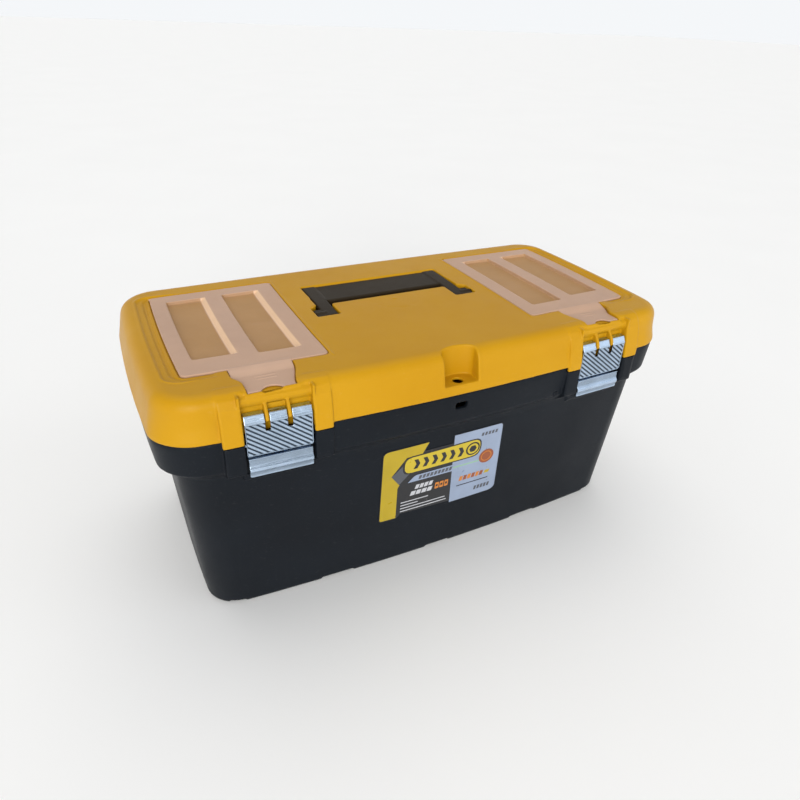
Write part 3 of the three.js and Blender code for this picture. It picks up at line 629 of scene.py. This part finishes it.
def hook_valley_shade(points):
    """1 in the valleys between the hook's ribs, where painted shade darkens the steel."""
    ridge, bed = hook_ribs(points[:, 0], points[:, 2])
    return np.where((bed < 0) & (points[:, 1] < 0.7), 1 - ridge, 0.0)


def make_hook(side, place, metal):
    block = Block((-30, -1.8, 189.6), (30, 10.4, 233.4), 0.3)
    u, v, z = block.x, block.y, block.z
    pivot_v, pivot_z, pin = HOOK_PIVOT
    fold = sheet_fold(v, z, [(0.6, HOOK_FOOT + 0.6), (0.6, 224.6), (3.2, 230.4), (8.0, 231.0)])
    corner = rectangle(u, z, (-HOOK_HALF, HOOK_HALF, HOOK_FOOT, 260.0), 2.0)
    field = common(fold, corner, 0.5)
    ridge, bed = hook_ribs(u, z)
    field = np.minimum(field, np.maximum(bed, np.maximum(-0.6 * ridge - v, v - 0.8)))
    field = np.maximum(field, -np.maximum(bed, v - 0.35 * (1 - ridge)))
    for centre in (-RIB_U, RIB_U):
        slot = rectangle(u, z, (centre - 2.2, centre + 2.2, 215.5, 240.0), 0.5)
        field = cut(field, slot, 0.3)
    knuckle = np.maximum(rod(v, z, (pivot_v, pivot_z), 2.5), np.abs(u) - KNUCKLE_HALF)
    web = np.maximum(between(z, pivot_z, pivot_z + 2.2), np.abs(u) - KNUCKLE_HALF)
    web = np.maximum(between(v, 0.9, pivot_v), web)
    field = join(field, np.minimum(knuckle, web), 0.6)
    field = cut(field, rod(v, z, (pivot_v, pivot_z), pin + 0.25))
    piece = moulded(f"hook_{side}_plate", block, field, 0.004, place, hook_valley_shade)
    fit(piece, f"latch_hook_{side}", metal)


def lever_band_shade(points):
    """Painted shade: higher in the two flat bands either side of the lever's bright fold, and 0.3 on the parts
    further back, where the steel is painted darker.
    """
    z = points[:, 2]
    upper = step(z, 181.0, 182.2) * (1 - step(z, 189.0, 189.5))
    lower = step(z, 173.0, 173.7) * (1 - step(z, 176.2, 177.4))
    return np.where(points[:, 1] < 2.2, 0.30 * upper + 0.36 * lower, 0.3)


def make_lever(side, place, metal):
    block = Block((-29.4, -2.4, 170), (29.4, 9.4, 206), 0.3)
    u, v, z = block.x, block.y, block.z
    lip = [(0.0, 171.8), (0.1, 175.6), (-1.1, 178.2), (-0.9, 180.0), (0.9, 182.6)]
    line = lip + [(0.9, 188.9), (7.4, 189.0), (7.4, 202.6)]
    field = sheet_fold(v, z, line)
    width = rectangle(u, z, (-LEVER_HALF, LEVER_HALF, 171.2, 260.0), 1.6)
    lever_v, lever_z, lever_pin = LEVER_PIVOT
    hook_v, hook_z, hook_pin = HOOK_PIVOT
    barrel = rod(v, z, (lever_v, lever_z), 2.7)
    bridge = np.maximum(between(v, lever_v, 7.6), between(z, lever_z - 1.0, lever_z + 0.6))
    field = common(join(field, np.minimum(barrel, bridge), 0.5), width, 0.5)
    ears = between(np.abs(u), KNUCKLE_HALF + 0.4, LEVER_HALF - 0.4)
    ear = np.minimum(rod(v, z, (hook_v, hook_z), 2.3),
                     np.maximum(between(v, hook_v, 7.4), between(z, hook_z - 1.3, hook_z + 1.3)))
    field = join(field, np.maximum(ear, ears), 0.5)
    field = cut(field, rod(v, z, (lever_v, lever_z), lever_pin + 0.25))
    field = cut(field, rod(v, z, (hook_v, hook_z), hook_pin + 0.25))
    piece = moulded(f"lever_{side}_plate", block, field, 0.004, place, lever_band_shade)
    fit(piece, f"latch_lever_{side}", metal)


def make_pin(name, node, place, half, v, z, radius, metal):
    """A round pin along X with chamfered ends."""
    mesh = bpy.data.meshes.new(name)
    work = bmesh.new()
    chamfer = 0.25 * radius
    narrow = radius - chamfer
    rings = [(-half, narrow), (-half + chamfer, radius), (half - chamfer, radius), (half, narrow)]
    loops = []
    for along, size in rings:
        loop = []
        for i in range(PIN_SIDES):
            a = 2 * math.pi * i / PIN_SIDES
            point = place @ Matrix.Translation((along, v + size * math.cos(a), z + size * math.sin(a)))
            loop.append(work.verts.new(to_metres([tuple(point.translation)])[0]))
        loops.append(loop)
    for first, second in zip(loops, loops[1:]):
        for i in range(PIN_SIDES):
            after = (i + 1) % PIN_SIDES
            work.faces.new((first[i], second[i], second[after], first[after])).smooth = True
    work.faces.new(loops[0])
    work.faces.new(loops[-1][::-1])
    bmesh.ops.recalc_face_normals(work, faces=work.faces)
    work.to_mesh(mesh)
    work.free()
    fit(placed(name, mesh), node, metal)


# ---------------------------------------------------------------- label

def wall_point(x, z, lift):
    """A point of the tub's front wall, lifted off it."""
    inset = np.interp(z, [level[0] for level in TUB_SIDE], [level[2] for level in TUB_SIDE])
    y = -(HALF_DEPTH - inset)
    y = y * (1 - FRONT_BOW / HALF_DEPTH * (x / HALF_LENGTH) ** 2)
    return (x, y - lift, z)


def decal(name, outline, lift, material, thickness=0.0):
    """A print of an outline of (x, z) points, laid on the tub's curved front wall.

    With a thickness it becomes a sheet, whose back lies that far behind its face.
    """
    work = bmesh.new()
    work.faces.new([work.verts.new((x, 0, z)) for x, z in outline])
    for normal, span in (((1, 0, 0), LABEL_X), ((0, 0, 1), LABEL_Z)):
        for at in np.arange(*span, PRINT_SPLIT):
            point = [at * part for part in normal]
            bmesh.ops.bisect_plane(work, geom=work.verts[:] + work.edges[:] + work.faces[:], dist=1e-4,
                                   plane_co=point, plane_no=normal)
    if thickness:
        bmesh.ops.solidify(work, geom=work.faces[:], thickness=-0.001)
    for vert in work.verts:
        x, y, z = vert.co
        behind = 0.0 if abs(y) < 1e-6 else thickness
        vert.co = to_metres([wall_point(x, z, lift - behind)])[0]
    bmesh.ops.recalc_face_normals(work, faces=work.faces)
    if not thickness and sum(f.normal.y for f in work.faces) > 0:
        bmesh.ops.reverse_faces(work, faces=work.faces)
    mesh = bpy.data.meshes.new(name)
    work.to_mesh(mesh)
    work.free()
    fit(placed(name, mesh), "front_label", material)


def rounded(corners, steps=5):
    """An outline whose (x, z, radius) corners are rounded."""
    points = []
    for i, (x, z, radius) in enumerate(corners):
        here = np.array((x, z))
        before = np.array(corners[i - 1][:2]) - here
        after = np.array(corners[(i + 1) % len(corners)][:2]) - here
        before = before / np.linalg.norm(before)
        after = after / np.linalg.norm(after)
        for t in np.linspace(0, 1, steps) if radius else (0.5,):
            start, end = here + before * radius, here + after * radius
            points.append(tuple((1 - t) ** 2 * start + 2 * t * (1 - t) * here + t * t * end))
    return points


def disc(x, z, radius, sides=32):
    angles = np.linspace(0, 2 * math.pi, sides + 1)[:-1]
    return [(x + radius * math.cos(a), z + radius * math.sin(a)) for a in angles]


def bar(x0, x1, z0, z1, slant=0.0):
    return [(x0, z0), (x1, z0), (x1 + slant, z1), (x0 + slant, z1)]


def label_grounds(paints):
    """The black backing, the yellow and silver fields and the flag between them."""
    foot = [(-76, 63, 3), (-56, 63, 0), (-52, 68, 0), (7, 66, 0), (7.2, 63, 0), (61, 63.4, 3), (66, 68, 3)]
    head = [(61.6, 157, 4), (2.4, 157, 0), (2.4, 146.5, 0), (-30, 146.5, 0), (-25.6, 157, 0), (-76, 156.4, 6)]
    decal("label_backing", rounded(foot + head), 0.5, paints["black"], LABEL_THICKNESS)
    yellow = [(-75.4, 64, 3), (-57, 63.8, 0), (-57.6, 105, 0), (-55.6, 109.4, 0), (-65.4, 122.8, 0),
              (-49.8, 143.4, 0), (-33, 143.2, 0), (-26.4, 156.4, 0), (-75.4, 155.8, 6)]
    decal("label_yellow", rounded(yellow), 0.6, paints["yellow"])
    silver = [(7.4, 63.6, 0), (61, 64, 4), (65.4, 68, 3), (61.2, 156.4, 4), (2.8, 156.4, 0)]
    decal("label_silver", rounded(silver), 0.6, paints["silver"])
    decal("label_flag", [(-65.4, 122.8), (-56.2, 109.8), (-45.4, 121), (-51.6, 135.4)], 0.65, paints["grey"])


def label_banner(paints):
    """A ringed banner of chevrons that ends in a hexagon, over a strip of marks."""
    ring = [(-53.4, 120.8, 9), (38, 120.8, 10.5), (38, 145, 10.5), (-53.4, 143.6, 9)]
    decal("label_ring", rounded(ring), 0.7, paints["black"])
    banner = [(-51.4, 122.3, 8), (36.4, 122.3, 9.6), (36.4, 143.6, 9.6), (-51.4, 142, 8)]
    decal("label_banner", rounded(banner), 0.78, paints["bright"])
    for i in range(6):
        x = -41.5 + 10.2 * i
        chevron = [(x, 126.4), (x + 4.4, 126.4), (x + 7.2, 132.4), (x + 4.4, 138.4), (x, 138.4), (x + 2.8, 132.4)]
        decal(f"label_chevron_{i}", chevron, 0.86, paints["black"])
    eye = (27.4, 132.6)
    decal("label_disc", disc(*eye, 8.4), 0.86, paints["black"])
    decal("label_disc_eye", disc(*eye, 6.6), 0.92, paints["bright"])
    decal("label_disc_core", disc(*eye, 4.6, 6), 0.98, paints["black"])
    decal("label_strip", rounded([(-46.4, 109.2, 0), (42, 108.6, 0), (42, 117.6, 0), (-38.6, 117.2, 3)]),
          0.72, paints["silver"])
    for i in range(9):
        mark = bar(-34.5 + 4.4 * i, -31.3 + 4.4 * i, 110.8, 115.6, 1.2)
        decal(f"label_strip_mark_{i}", mark, 0.78, paints["grey"])
    decal("label_strip_line", bar(6, 38, 112.4, 114.2), 0.78, paints["green"])


def label_rows(paints):
    """Rows of plain blocks, cells and lines in place of lettering."""
    for row, width in ((98.0, 21.0), (90.2, 26.0)):
        for i in range(4):
            x = -16.6 - width + i * width / 4
            block = bar(x, x + width / 4 - 1.2, row, row + 5.6, 1.6)
            decal(f"label_block_{row:.0f}_{i}", block, 0.66, paints["white"])
    for i in range(3):
        x = 5.6 * i
        cell = [(-13.6 + x, 90.4, 1), (-9.0 + x, 90.4, 1), (-8.8 + x, 99, 1), (-13.4 + x, 99, 1)]
        decal(f"label_cell_{i}", rounded(cell), 0.66, paints["orange"])
        decal(f"label_cell_eye_{i}", bar(-12.4 + x, -10.2 + x, 93.4, 96.2), 0.72, paints["black"])
    for i, length in enumerate((32.0, 20.0, 53.0, 55.0)):
        z = 82.6 - 4.1 * i
        decal(f"label_line_{i}", bar(-52.4, -52.4 + length, z, z + 1.3), 0.66, paints["white"])


def label_side(paints):
    """On the silver field: a plain seal, a row of tags, a rule and rows of small marks."""
    seal = (46.6, 117.0)
    decal("label_seal", disc(*seal, 9.2), 0.8, paints["rust"])
    decal("label_seal_ring", disc(*seal, 6.6), 0.86, paints["orange"])
    decal("label_seal_core", disc(*seal, 5.6), 0.92, paints["rust"])
    for i in range(6):
        x = 15.6 + 5.1 * i
        decal(f"label_tag_{i}", bar(x, x + 4.0, 91.2, 97.4, 1.2), 0.68, paints["rust" if i % 2 else "orange"])
    decal("label_tag_end", bar(47.2, 53.4, 92.2, 96.2, 1.2), 0.68, paints["yellow"])
    decal("label_rule", bar(13.8, 53.8, 84.2, 85.5), 0.68, paints["black"])
    for i in range(5):
        decal(f"label_foot_{i}", bar(37.0 + 4.2 * i, 39.9 + 4.2 * i, 71.6, 77.0, 0.8), 0.68, paints["grey"])
        decal(f"label_head_{i}", bar(35.8 + 4.2 * i, 38.6 + 4.2 * i, 146.2, 150.4, 0.6), 0.68, paints["grey"])


def make_label(paints):
    label_grounds(paints)
    label_banner(paints)
    label_rows(paints)
    label_side(paints)


# ---------------------------------------------------------------- materials

class Shader:
    """Builds one Principled material from a few named steps."""

    def __init__(self, name):
        self.material = bpy.data.materials.new(name)
        self.material.use_nodes = True
        self.tree = self.material.node_tree
        self.surface = self.tree.nodes["Principled BSDF"]
        self.place = self.tree.nodes.new("ShaderNodeTexCoord").outputs["Object"]

    def feed(self, socket, value):
        """Links an output to a socket, or sets a plain value on it."""
        if hasattr(value, "is_output"):
            self.tree.links.new(value, socket)
        else:
            socket.default_value = value

    def node(self, kind, inputs=None, **settings):
        made = self.tree.nodes.new(kind)
        for key, value in settings.items():
            setattr(made, key, value)
        for key, value in (inputs or {}).items():
            self.feed(made.inputs[key], value)
        return made

    def noise(self, scale, detail=3.0, roughness=0.55, stretch=(1, 1, 1)):
        place = self.node("ShaderNodeMapping", {"Vector": self.place, "Scale": stretch}).outputs[0]
        noise = self.node("ShaderNodeTexNoise", {"Vector": place, "Scale": scale, "Detail": detail,
                                                 "Roughness": roughness})
        return noise.outputs["Fac"]

    def remap(self, value, low, high, to_low, to_high):
        mapped = self.node("ShaderNodeMapRange", {"Value": value, "From Min": low, "From Max": high,
                                                  "To Min": to_low, "To Max": to_high})
        return mapped.outputs[0]

    def math(self, operation, a, b):
        return self.node("ShaderNodeMath", {0: a, 1: b}, operation=operation).outputs[0]

    def mix(self, factor, a, b):
        mixed = self.node("ShaderNodeMix", data_type="RGBA")
        for socket, value in zip((mixed.inputs[0], mixed.inputs[6], mixed.inputs[7]), (factor, a, b)):
            self.feed(socket, value)
        return mixed.outputs[2]

    def bump(self, height, distance, strength=1.0, below=None):
        inputs = {"Height": height, "Distance": distance, "Strength": strength}
        if below is not None:
            inputs["Normal"] = below
        return self.node("ShaderNodeBump", inputs).outputs[0]

    def scratches(self, amount):
        """Fine hairline marks in two directions."""
        lines = []
        for stretch in ((1, 9, 3), (8, 1, 3)):
            line = self.noise(160, 2.0, 0.5, stretch)
            lines.append(self.remap(line, 0.66, 0.72, 0.0, amount))
        return self.math("MAXIMUM", *lines)

    def set(self, **inputs):
        for key, value in inputs.items():
            self.feed(self.surface.inputs[key.replace("_", " ")], value)
        return self.material


def colour(r, g, b):
    """A plain, fully opaque colour."""
    return (r, g, b, 1.0)


def moulded_plastic(name, base, dark, roughness, gloss=0.18, grain=0.00006):
    """Injection-moulded polypropylene: fine grain, soft sink marks, hairline scuffs and uneven sheen."""
    s = Shader(name)
    cloud = s.noise(9, 4.0)
    tint = s.mix(s.remap(cloud, 0.35, 0.7, 0.0, 1.0), base, dark)
    scuffs = s.scratches(1.0)
    speck = s.remap(s.noise(420, 2.0), 0.68, 0.76, 0.0, 0.35)
    tint = s.mix(s.math("MULTIPLY", scuffs, 0.07), tint, colour(*(min(1, 0.12 + 0.9 * c) for c in base[:3])))
    tint = s.mix(s.math("MULTIPLY", speck, 0.25), tint, colour(*(0.55 * c for c in base[:3])))
    sheen = s.remap(s.noise(22, 5.0), 0.3, 0.7, roughness - 0.05, roughness + 0.07)
    sheen = s.math("ADD", sheen, s.math("MULTIPLY", scuffs, 0.08))
    fine = s.bump(s.noise(2600, 2.0), grain)
    sink = s.bump(s.noise(14, 1.0), 0.0006, 0.35, fine)
    normal = s.bump(scuffs, 0.00003, 0.5, sink)
    return s.set(Base_Color=tint, Roughness=sheen, Normal=normal, IOR=1.42, Specular_IOR_Level=gloss)


def frosted_plastic():
    """Translucent polypropylene, clearer in the two sunken windows of each cover."""
    s = Shader("frosted_plastic")
    mark = s.node("ShaderNodeAttribute", attribute_name="mark").outputs["Fac"]
    pane = s.remap(mark, 0.0, 1.0, 0.0, 1.0)
    strip = s.remap(mark, 0.0, -1.0, 0.0, 1.0)
    haze = s.remap(s.noise(16, 4.0), 0.3, 0.7, -0.04, 0.04)
    alpha = s.math("ADD", s.remap(pane, 0.0, 1.0, 0.70, 0.50), haze)
    alpha = s.math("ADD", alpha, s.math("MULTIPLY", strip, 0.16))
    tint = s.mix(s.noise(30, 3.0), colour(0.66, 0.43, 0.30), colour(0.60, 0.40, 0.29))
    # Painted see-through light: the clearer panes are tinted orange to stand in for the yellow well's light seen
    # through them.
    tint = s.mix(pane, tint, colour(0.62, 0.36, 0.15))
    # Painted highlight: the sloped strips beside the panes are painted lighter, as if they caught the light.
    tint = s.mix(strip, tint, colour(0.80, 0.54, 0.34))
    polish = s.remap(s.noise(40, 4.0), 0.3, 0.7, 0.30, 0.42)
    sheen = s.math("ADD", polish, s.math("MULTIPLY", s.scratches(1.0), 0.12))
    normal = s.bump(s.noise(1500, 2.0), 0.00004, 0.6)
    return s.set(Base_Color=tint, Roughness=sheen, Normal=normal, Alpha=alpha, IOR=1.49, Specular_IOR_Level=0.4)


def plated_steel():
    """Bright zinc-plated sheet: drawn streaks along the strip, faint stains and small scratches."""
    s = Shader("plated_steel")
    streak = s.noise(90, 4.0, 0.6, (0.6, 6, 16))
    stain = s.noise(60, 5.0)
    tint = s.mix(s.remap(stain, 0.35, 0.75, 0.0, 1.0), colour(0.50, 0.62, 0.78), colour(0.40, 0.50, 0.62))
    mark = s.node("ShaderNodeAttribute", attribute_name="mark").outputs["Fac"]
    # Painted shade: where the mark attribute is high, the steel is darkened towards near-black, in the hook's rib
    # valleys, on the lever's flat bands and on its parts further back.
    tint = s.mix(mark, tint, colour(0.035, 0.05, 0.07))
    sheen = s.math("ADD", s.remap(streak, 0.3, 0.7, 0.20, 0.36), s.math("MULTIPLY", s.scratches(1.0), 0.2))
    normal = s.bump(streak, 0.00004, 0.6, s.bump(s.noise(1200, 2.0), 0.00002, 0.5))
    return s.set(Base_Color=tint, Roughness=sheen, Normal=normal, Metallic=1.0)


def print_ink(name, base, metallic=0.0):
    """Ink under a clear film: slight mottling and a few rubbed specks."""
    s = Shader(name)
    worn = s.remap(s.noise(300, 4.0), 0.68, 0.75, 0.0, 0.5)
    tint = s.mix(s.remap(s.noise(40, 3.0), 0.3, 0.7, 0.0, 1.0), base, colour(*(0.88 * c for c in base[:3])))
    tint = s.mix(worn, tint, colour(*(0.5 * c + 0.12 for c in base[:3])))
    sheen = s.remap(s.noise(70, 4.0), 0.3, 0.7, 0.26, 0.42)
    normal = s.bump(s.noise(700, 3.0), 0.00003, 0.5)
    return s.set(Base_Color=tint, Roughness=sheen, Normal=normal, Metallic=metallic)


def label_inks():
    return {
        "black": print_ink("ink_black", colour(0.012, 0.012, 0.014)),
        "grey": print_ink("ink_grey", colour(0.07, 0.075, 0.09)),
        "white": print_ink("ink_white", colour(0.46, 0.47, 0.50)),
        "yellow": print_ink("ink_yellow", colour(0.40, 0.285, 0.006)),
        "bright": print_ink("ink_bright", colour(0.50, 0.38, 0.02)),
        "silver": print_ink("ink_silver", colour(0.28, 0.34, 0.46), 0.2),
        "orange": print_ink("ink_orange", colour(0.50, 0.17, 0.02)),
        "rust": print_ink("ink_rust", colour(0.25, 0.065, 0.02)),
        "green": print_ink("ink_green", colour(0.25, 0.42, 0.28)),
    }


# ---------------------------------------------------------------- studio

def floor_sheet():
    """A plain pale floor."""
    bpy.ops.mesh.primitive_plane_add(size=60)
    floor = bpy.context.object
    floor.name = "floor"
    s = Shader("floor_paper")
    tint = s.mix(s.noise(3, 2.0), colour(0.94, 0.94, 0.94), colour(0.91, 0.91, 0.91))
    floor.data.materials.append(s.set(Base_Color=tint, Roughness=0.7, Normal=s.bump(s.noise(300), 0.0001, 0.3)))


def lamps():
    """Three soft lamps, the main one at the front left."""
    lights = {
        "key": ((-1.15, -2.3, 1.1), 2.6, 0.7, (1.0, 0.98, 0.94)),
        "fill": ((1.9, -1.5, 0.9), 0.35, 0.9, (0.88, 0.93, 1.0)),
        "top": ((0.1, 0.9, 2.2), 0.8, 1.0, (1.0, 0.98, 0.95)),
    }
    for name, (place, power, spread, tint) in lights.items():
        lamp = bpy.data.lights.new(name, "SUN")
        lamp.angle = spread
        lamp.energy = power
        lamp.color = tint
        shown = placed(name, lamp)
        shown.location = place
        toward = Matrix.Translation((0, 0, 0.12)).translation - shown.location
        shown.rotation_euler = toward.to_track_quat("-Z", "Y").to_euler()


def sky():
    """Pale light all round, weaker towards the top, so that the top panel keeps its colour."""
    world = bpy.data.worlds.new("studio")
    bpy.context.scene.world = world
    world.use_nodes = True
    nodes, links = world.node_tree.nodes, world.node_tree.links
    height = nodes.new("ShaderNodeSeparateXYZ")
    links.new(nodes.new("ShaderNodeTexCoord").outputs["Generated"], height.inputs[0])
    glow = nodes.new("ShaderNodeMapRange")
    links.new(height.outputs["Z"], glow.inputs["Value"])
    for key, value in (("From Min", 0.08), ("From Max", 0.5), ("To Min", 0.95), ("To Max", 0.42)):
        glow.inputs[key].default_value = value
    links.new(glow.outputs[0], nodes["Background"].inputs["Strength"])
    nodes["Background"].inputs["Color"].default_value = (0.96, 0.98, 1.0, 1)
    bpy.context.scene.view_settings.view_transform = "Standard"


def camera():
    azimuth, height, roll = (math.radians(a) for a in CAMERA_TURNS)
    level = math.cos(height)
    back = np.array((math.sin(azimuth) * level, -math.cos(azimuth) * level, math.sin(height)))
    right = np.cross((0, 0, 1), back)
    right /= np.linalg.norm(right)
    up = np.cross(back, right)
    c, s = math.cos(roll), math.sin(roll)
    right, up = c * right + s * up, c * up - s * right
    eye = to_metres([CAMERA_PLACE])[0]
    data = bpy.data.cameras.new("camera")
    data.sensor_width = CAMERA_SENSOR
    data.lens = CAMERA_LENS
    shown = placed("camera", data)
    pose = Matrix.Identity(4)
    for column, axis in enumerate((right, up, back)):
        for row in range(3):
            pose[row][column] = axis[row]
    pose.translation = eye
    shown.matrix_world = pose
    bpy.context.scene.camera = shown


# ---------------------------------------------------------------- the toolbox

def bay_place(hand):
    return Matrix.Translation((hand * LATCH_X, LATCH_Y, 0)) @ Matrix.Rotation(hand * LATCH_TILT, 4, "Z")


def dress(nodes, material):
    """Gives a material to CAD nodes that are shown as they are."""
    for name in nodes:
        node = frame["nodes"][name]
        node.data.materials.clear()
        node.data.materials.append(material)


def main():
    yellow = moulded_plastic("yellow_plastic", colour(0.50, 0.260, 0.006), colour(0.465, 0.232, 0.004), 0.38)
    black = moulded_plastic("black_plastic", colour(0.0062, 0.0086, 0.0125),
                            colour(0.0050, 0.0066, 0.0095), 0.42, 0.16)
    matt = moulded_plastic("handle_plastic", colour(0.026, 0.018, 0.009),
                           colour(0.021, 0.0145, 0.0075), 0.46, 0.16)
    frosted = frosted_plastic()
    metal = plated_steel()
    make_lid(yellow)
    make_tub(black)
    make_tray(yellow, matt)
    make_handle(matt)
    make_label(label_inks())
    for side, hand in HANDS.items():
        place = bay_place(hand)
        make_cover(side, hand, frosted)
        make_hook(side, place, metal)
        make_lever(side, place, metal)
        make_pin(f"lever_rod_{side}", f"lever_pin_{side}", place, 35.5, *LEVER_PIVOT, metal)
        make_pin(f"hook_rod_{side}", f"hook_pin_{side}", place, 27.6, *HOOK_PIVOT, metal)
        hinge = Matrix.Translation((hand * HINGE_X, 0, 0))
        make_pin(f"hinge_rod_{side}", f"hinge_pin_{side}", hinge, 27.0, HINGE_Y, HINGE_Z, HINGE_PIN, metal)
        dress([f"organiser_divider_{side}_{lane}" for lane in ("inner", "outer")], frosted)
        dress([f"tray_divider_{side}_{row}" for row in ("front", "back")], black)
    floor_sheet()
    lamps()
    sky()
    camera()


main()
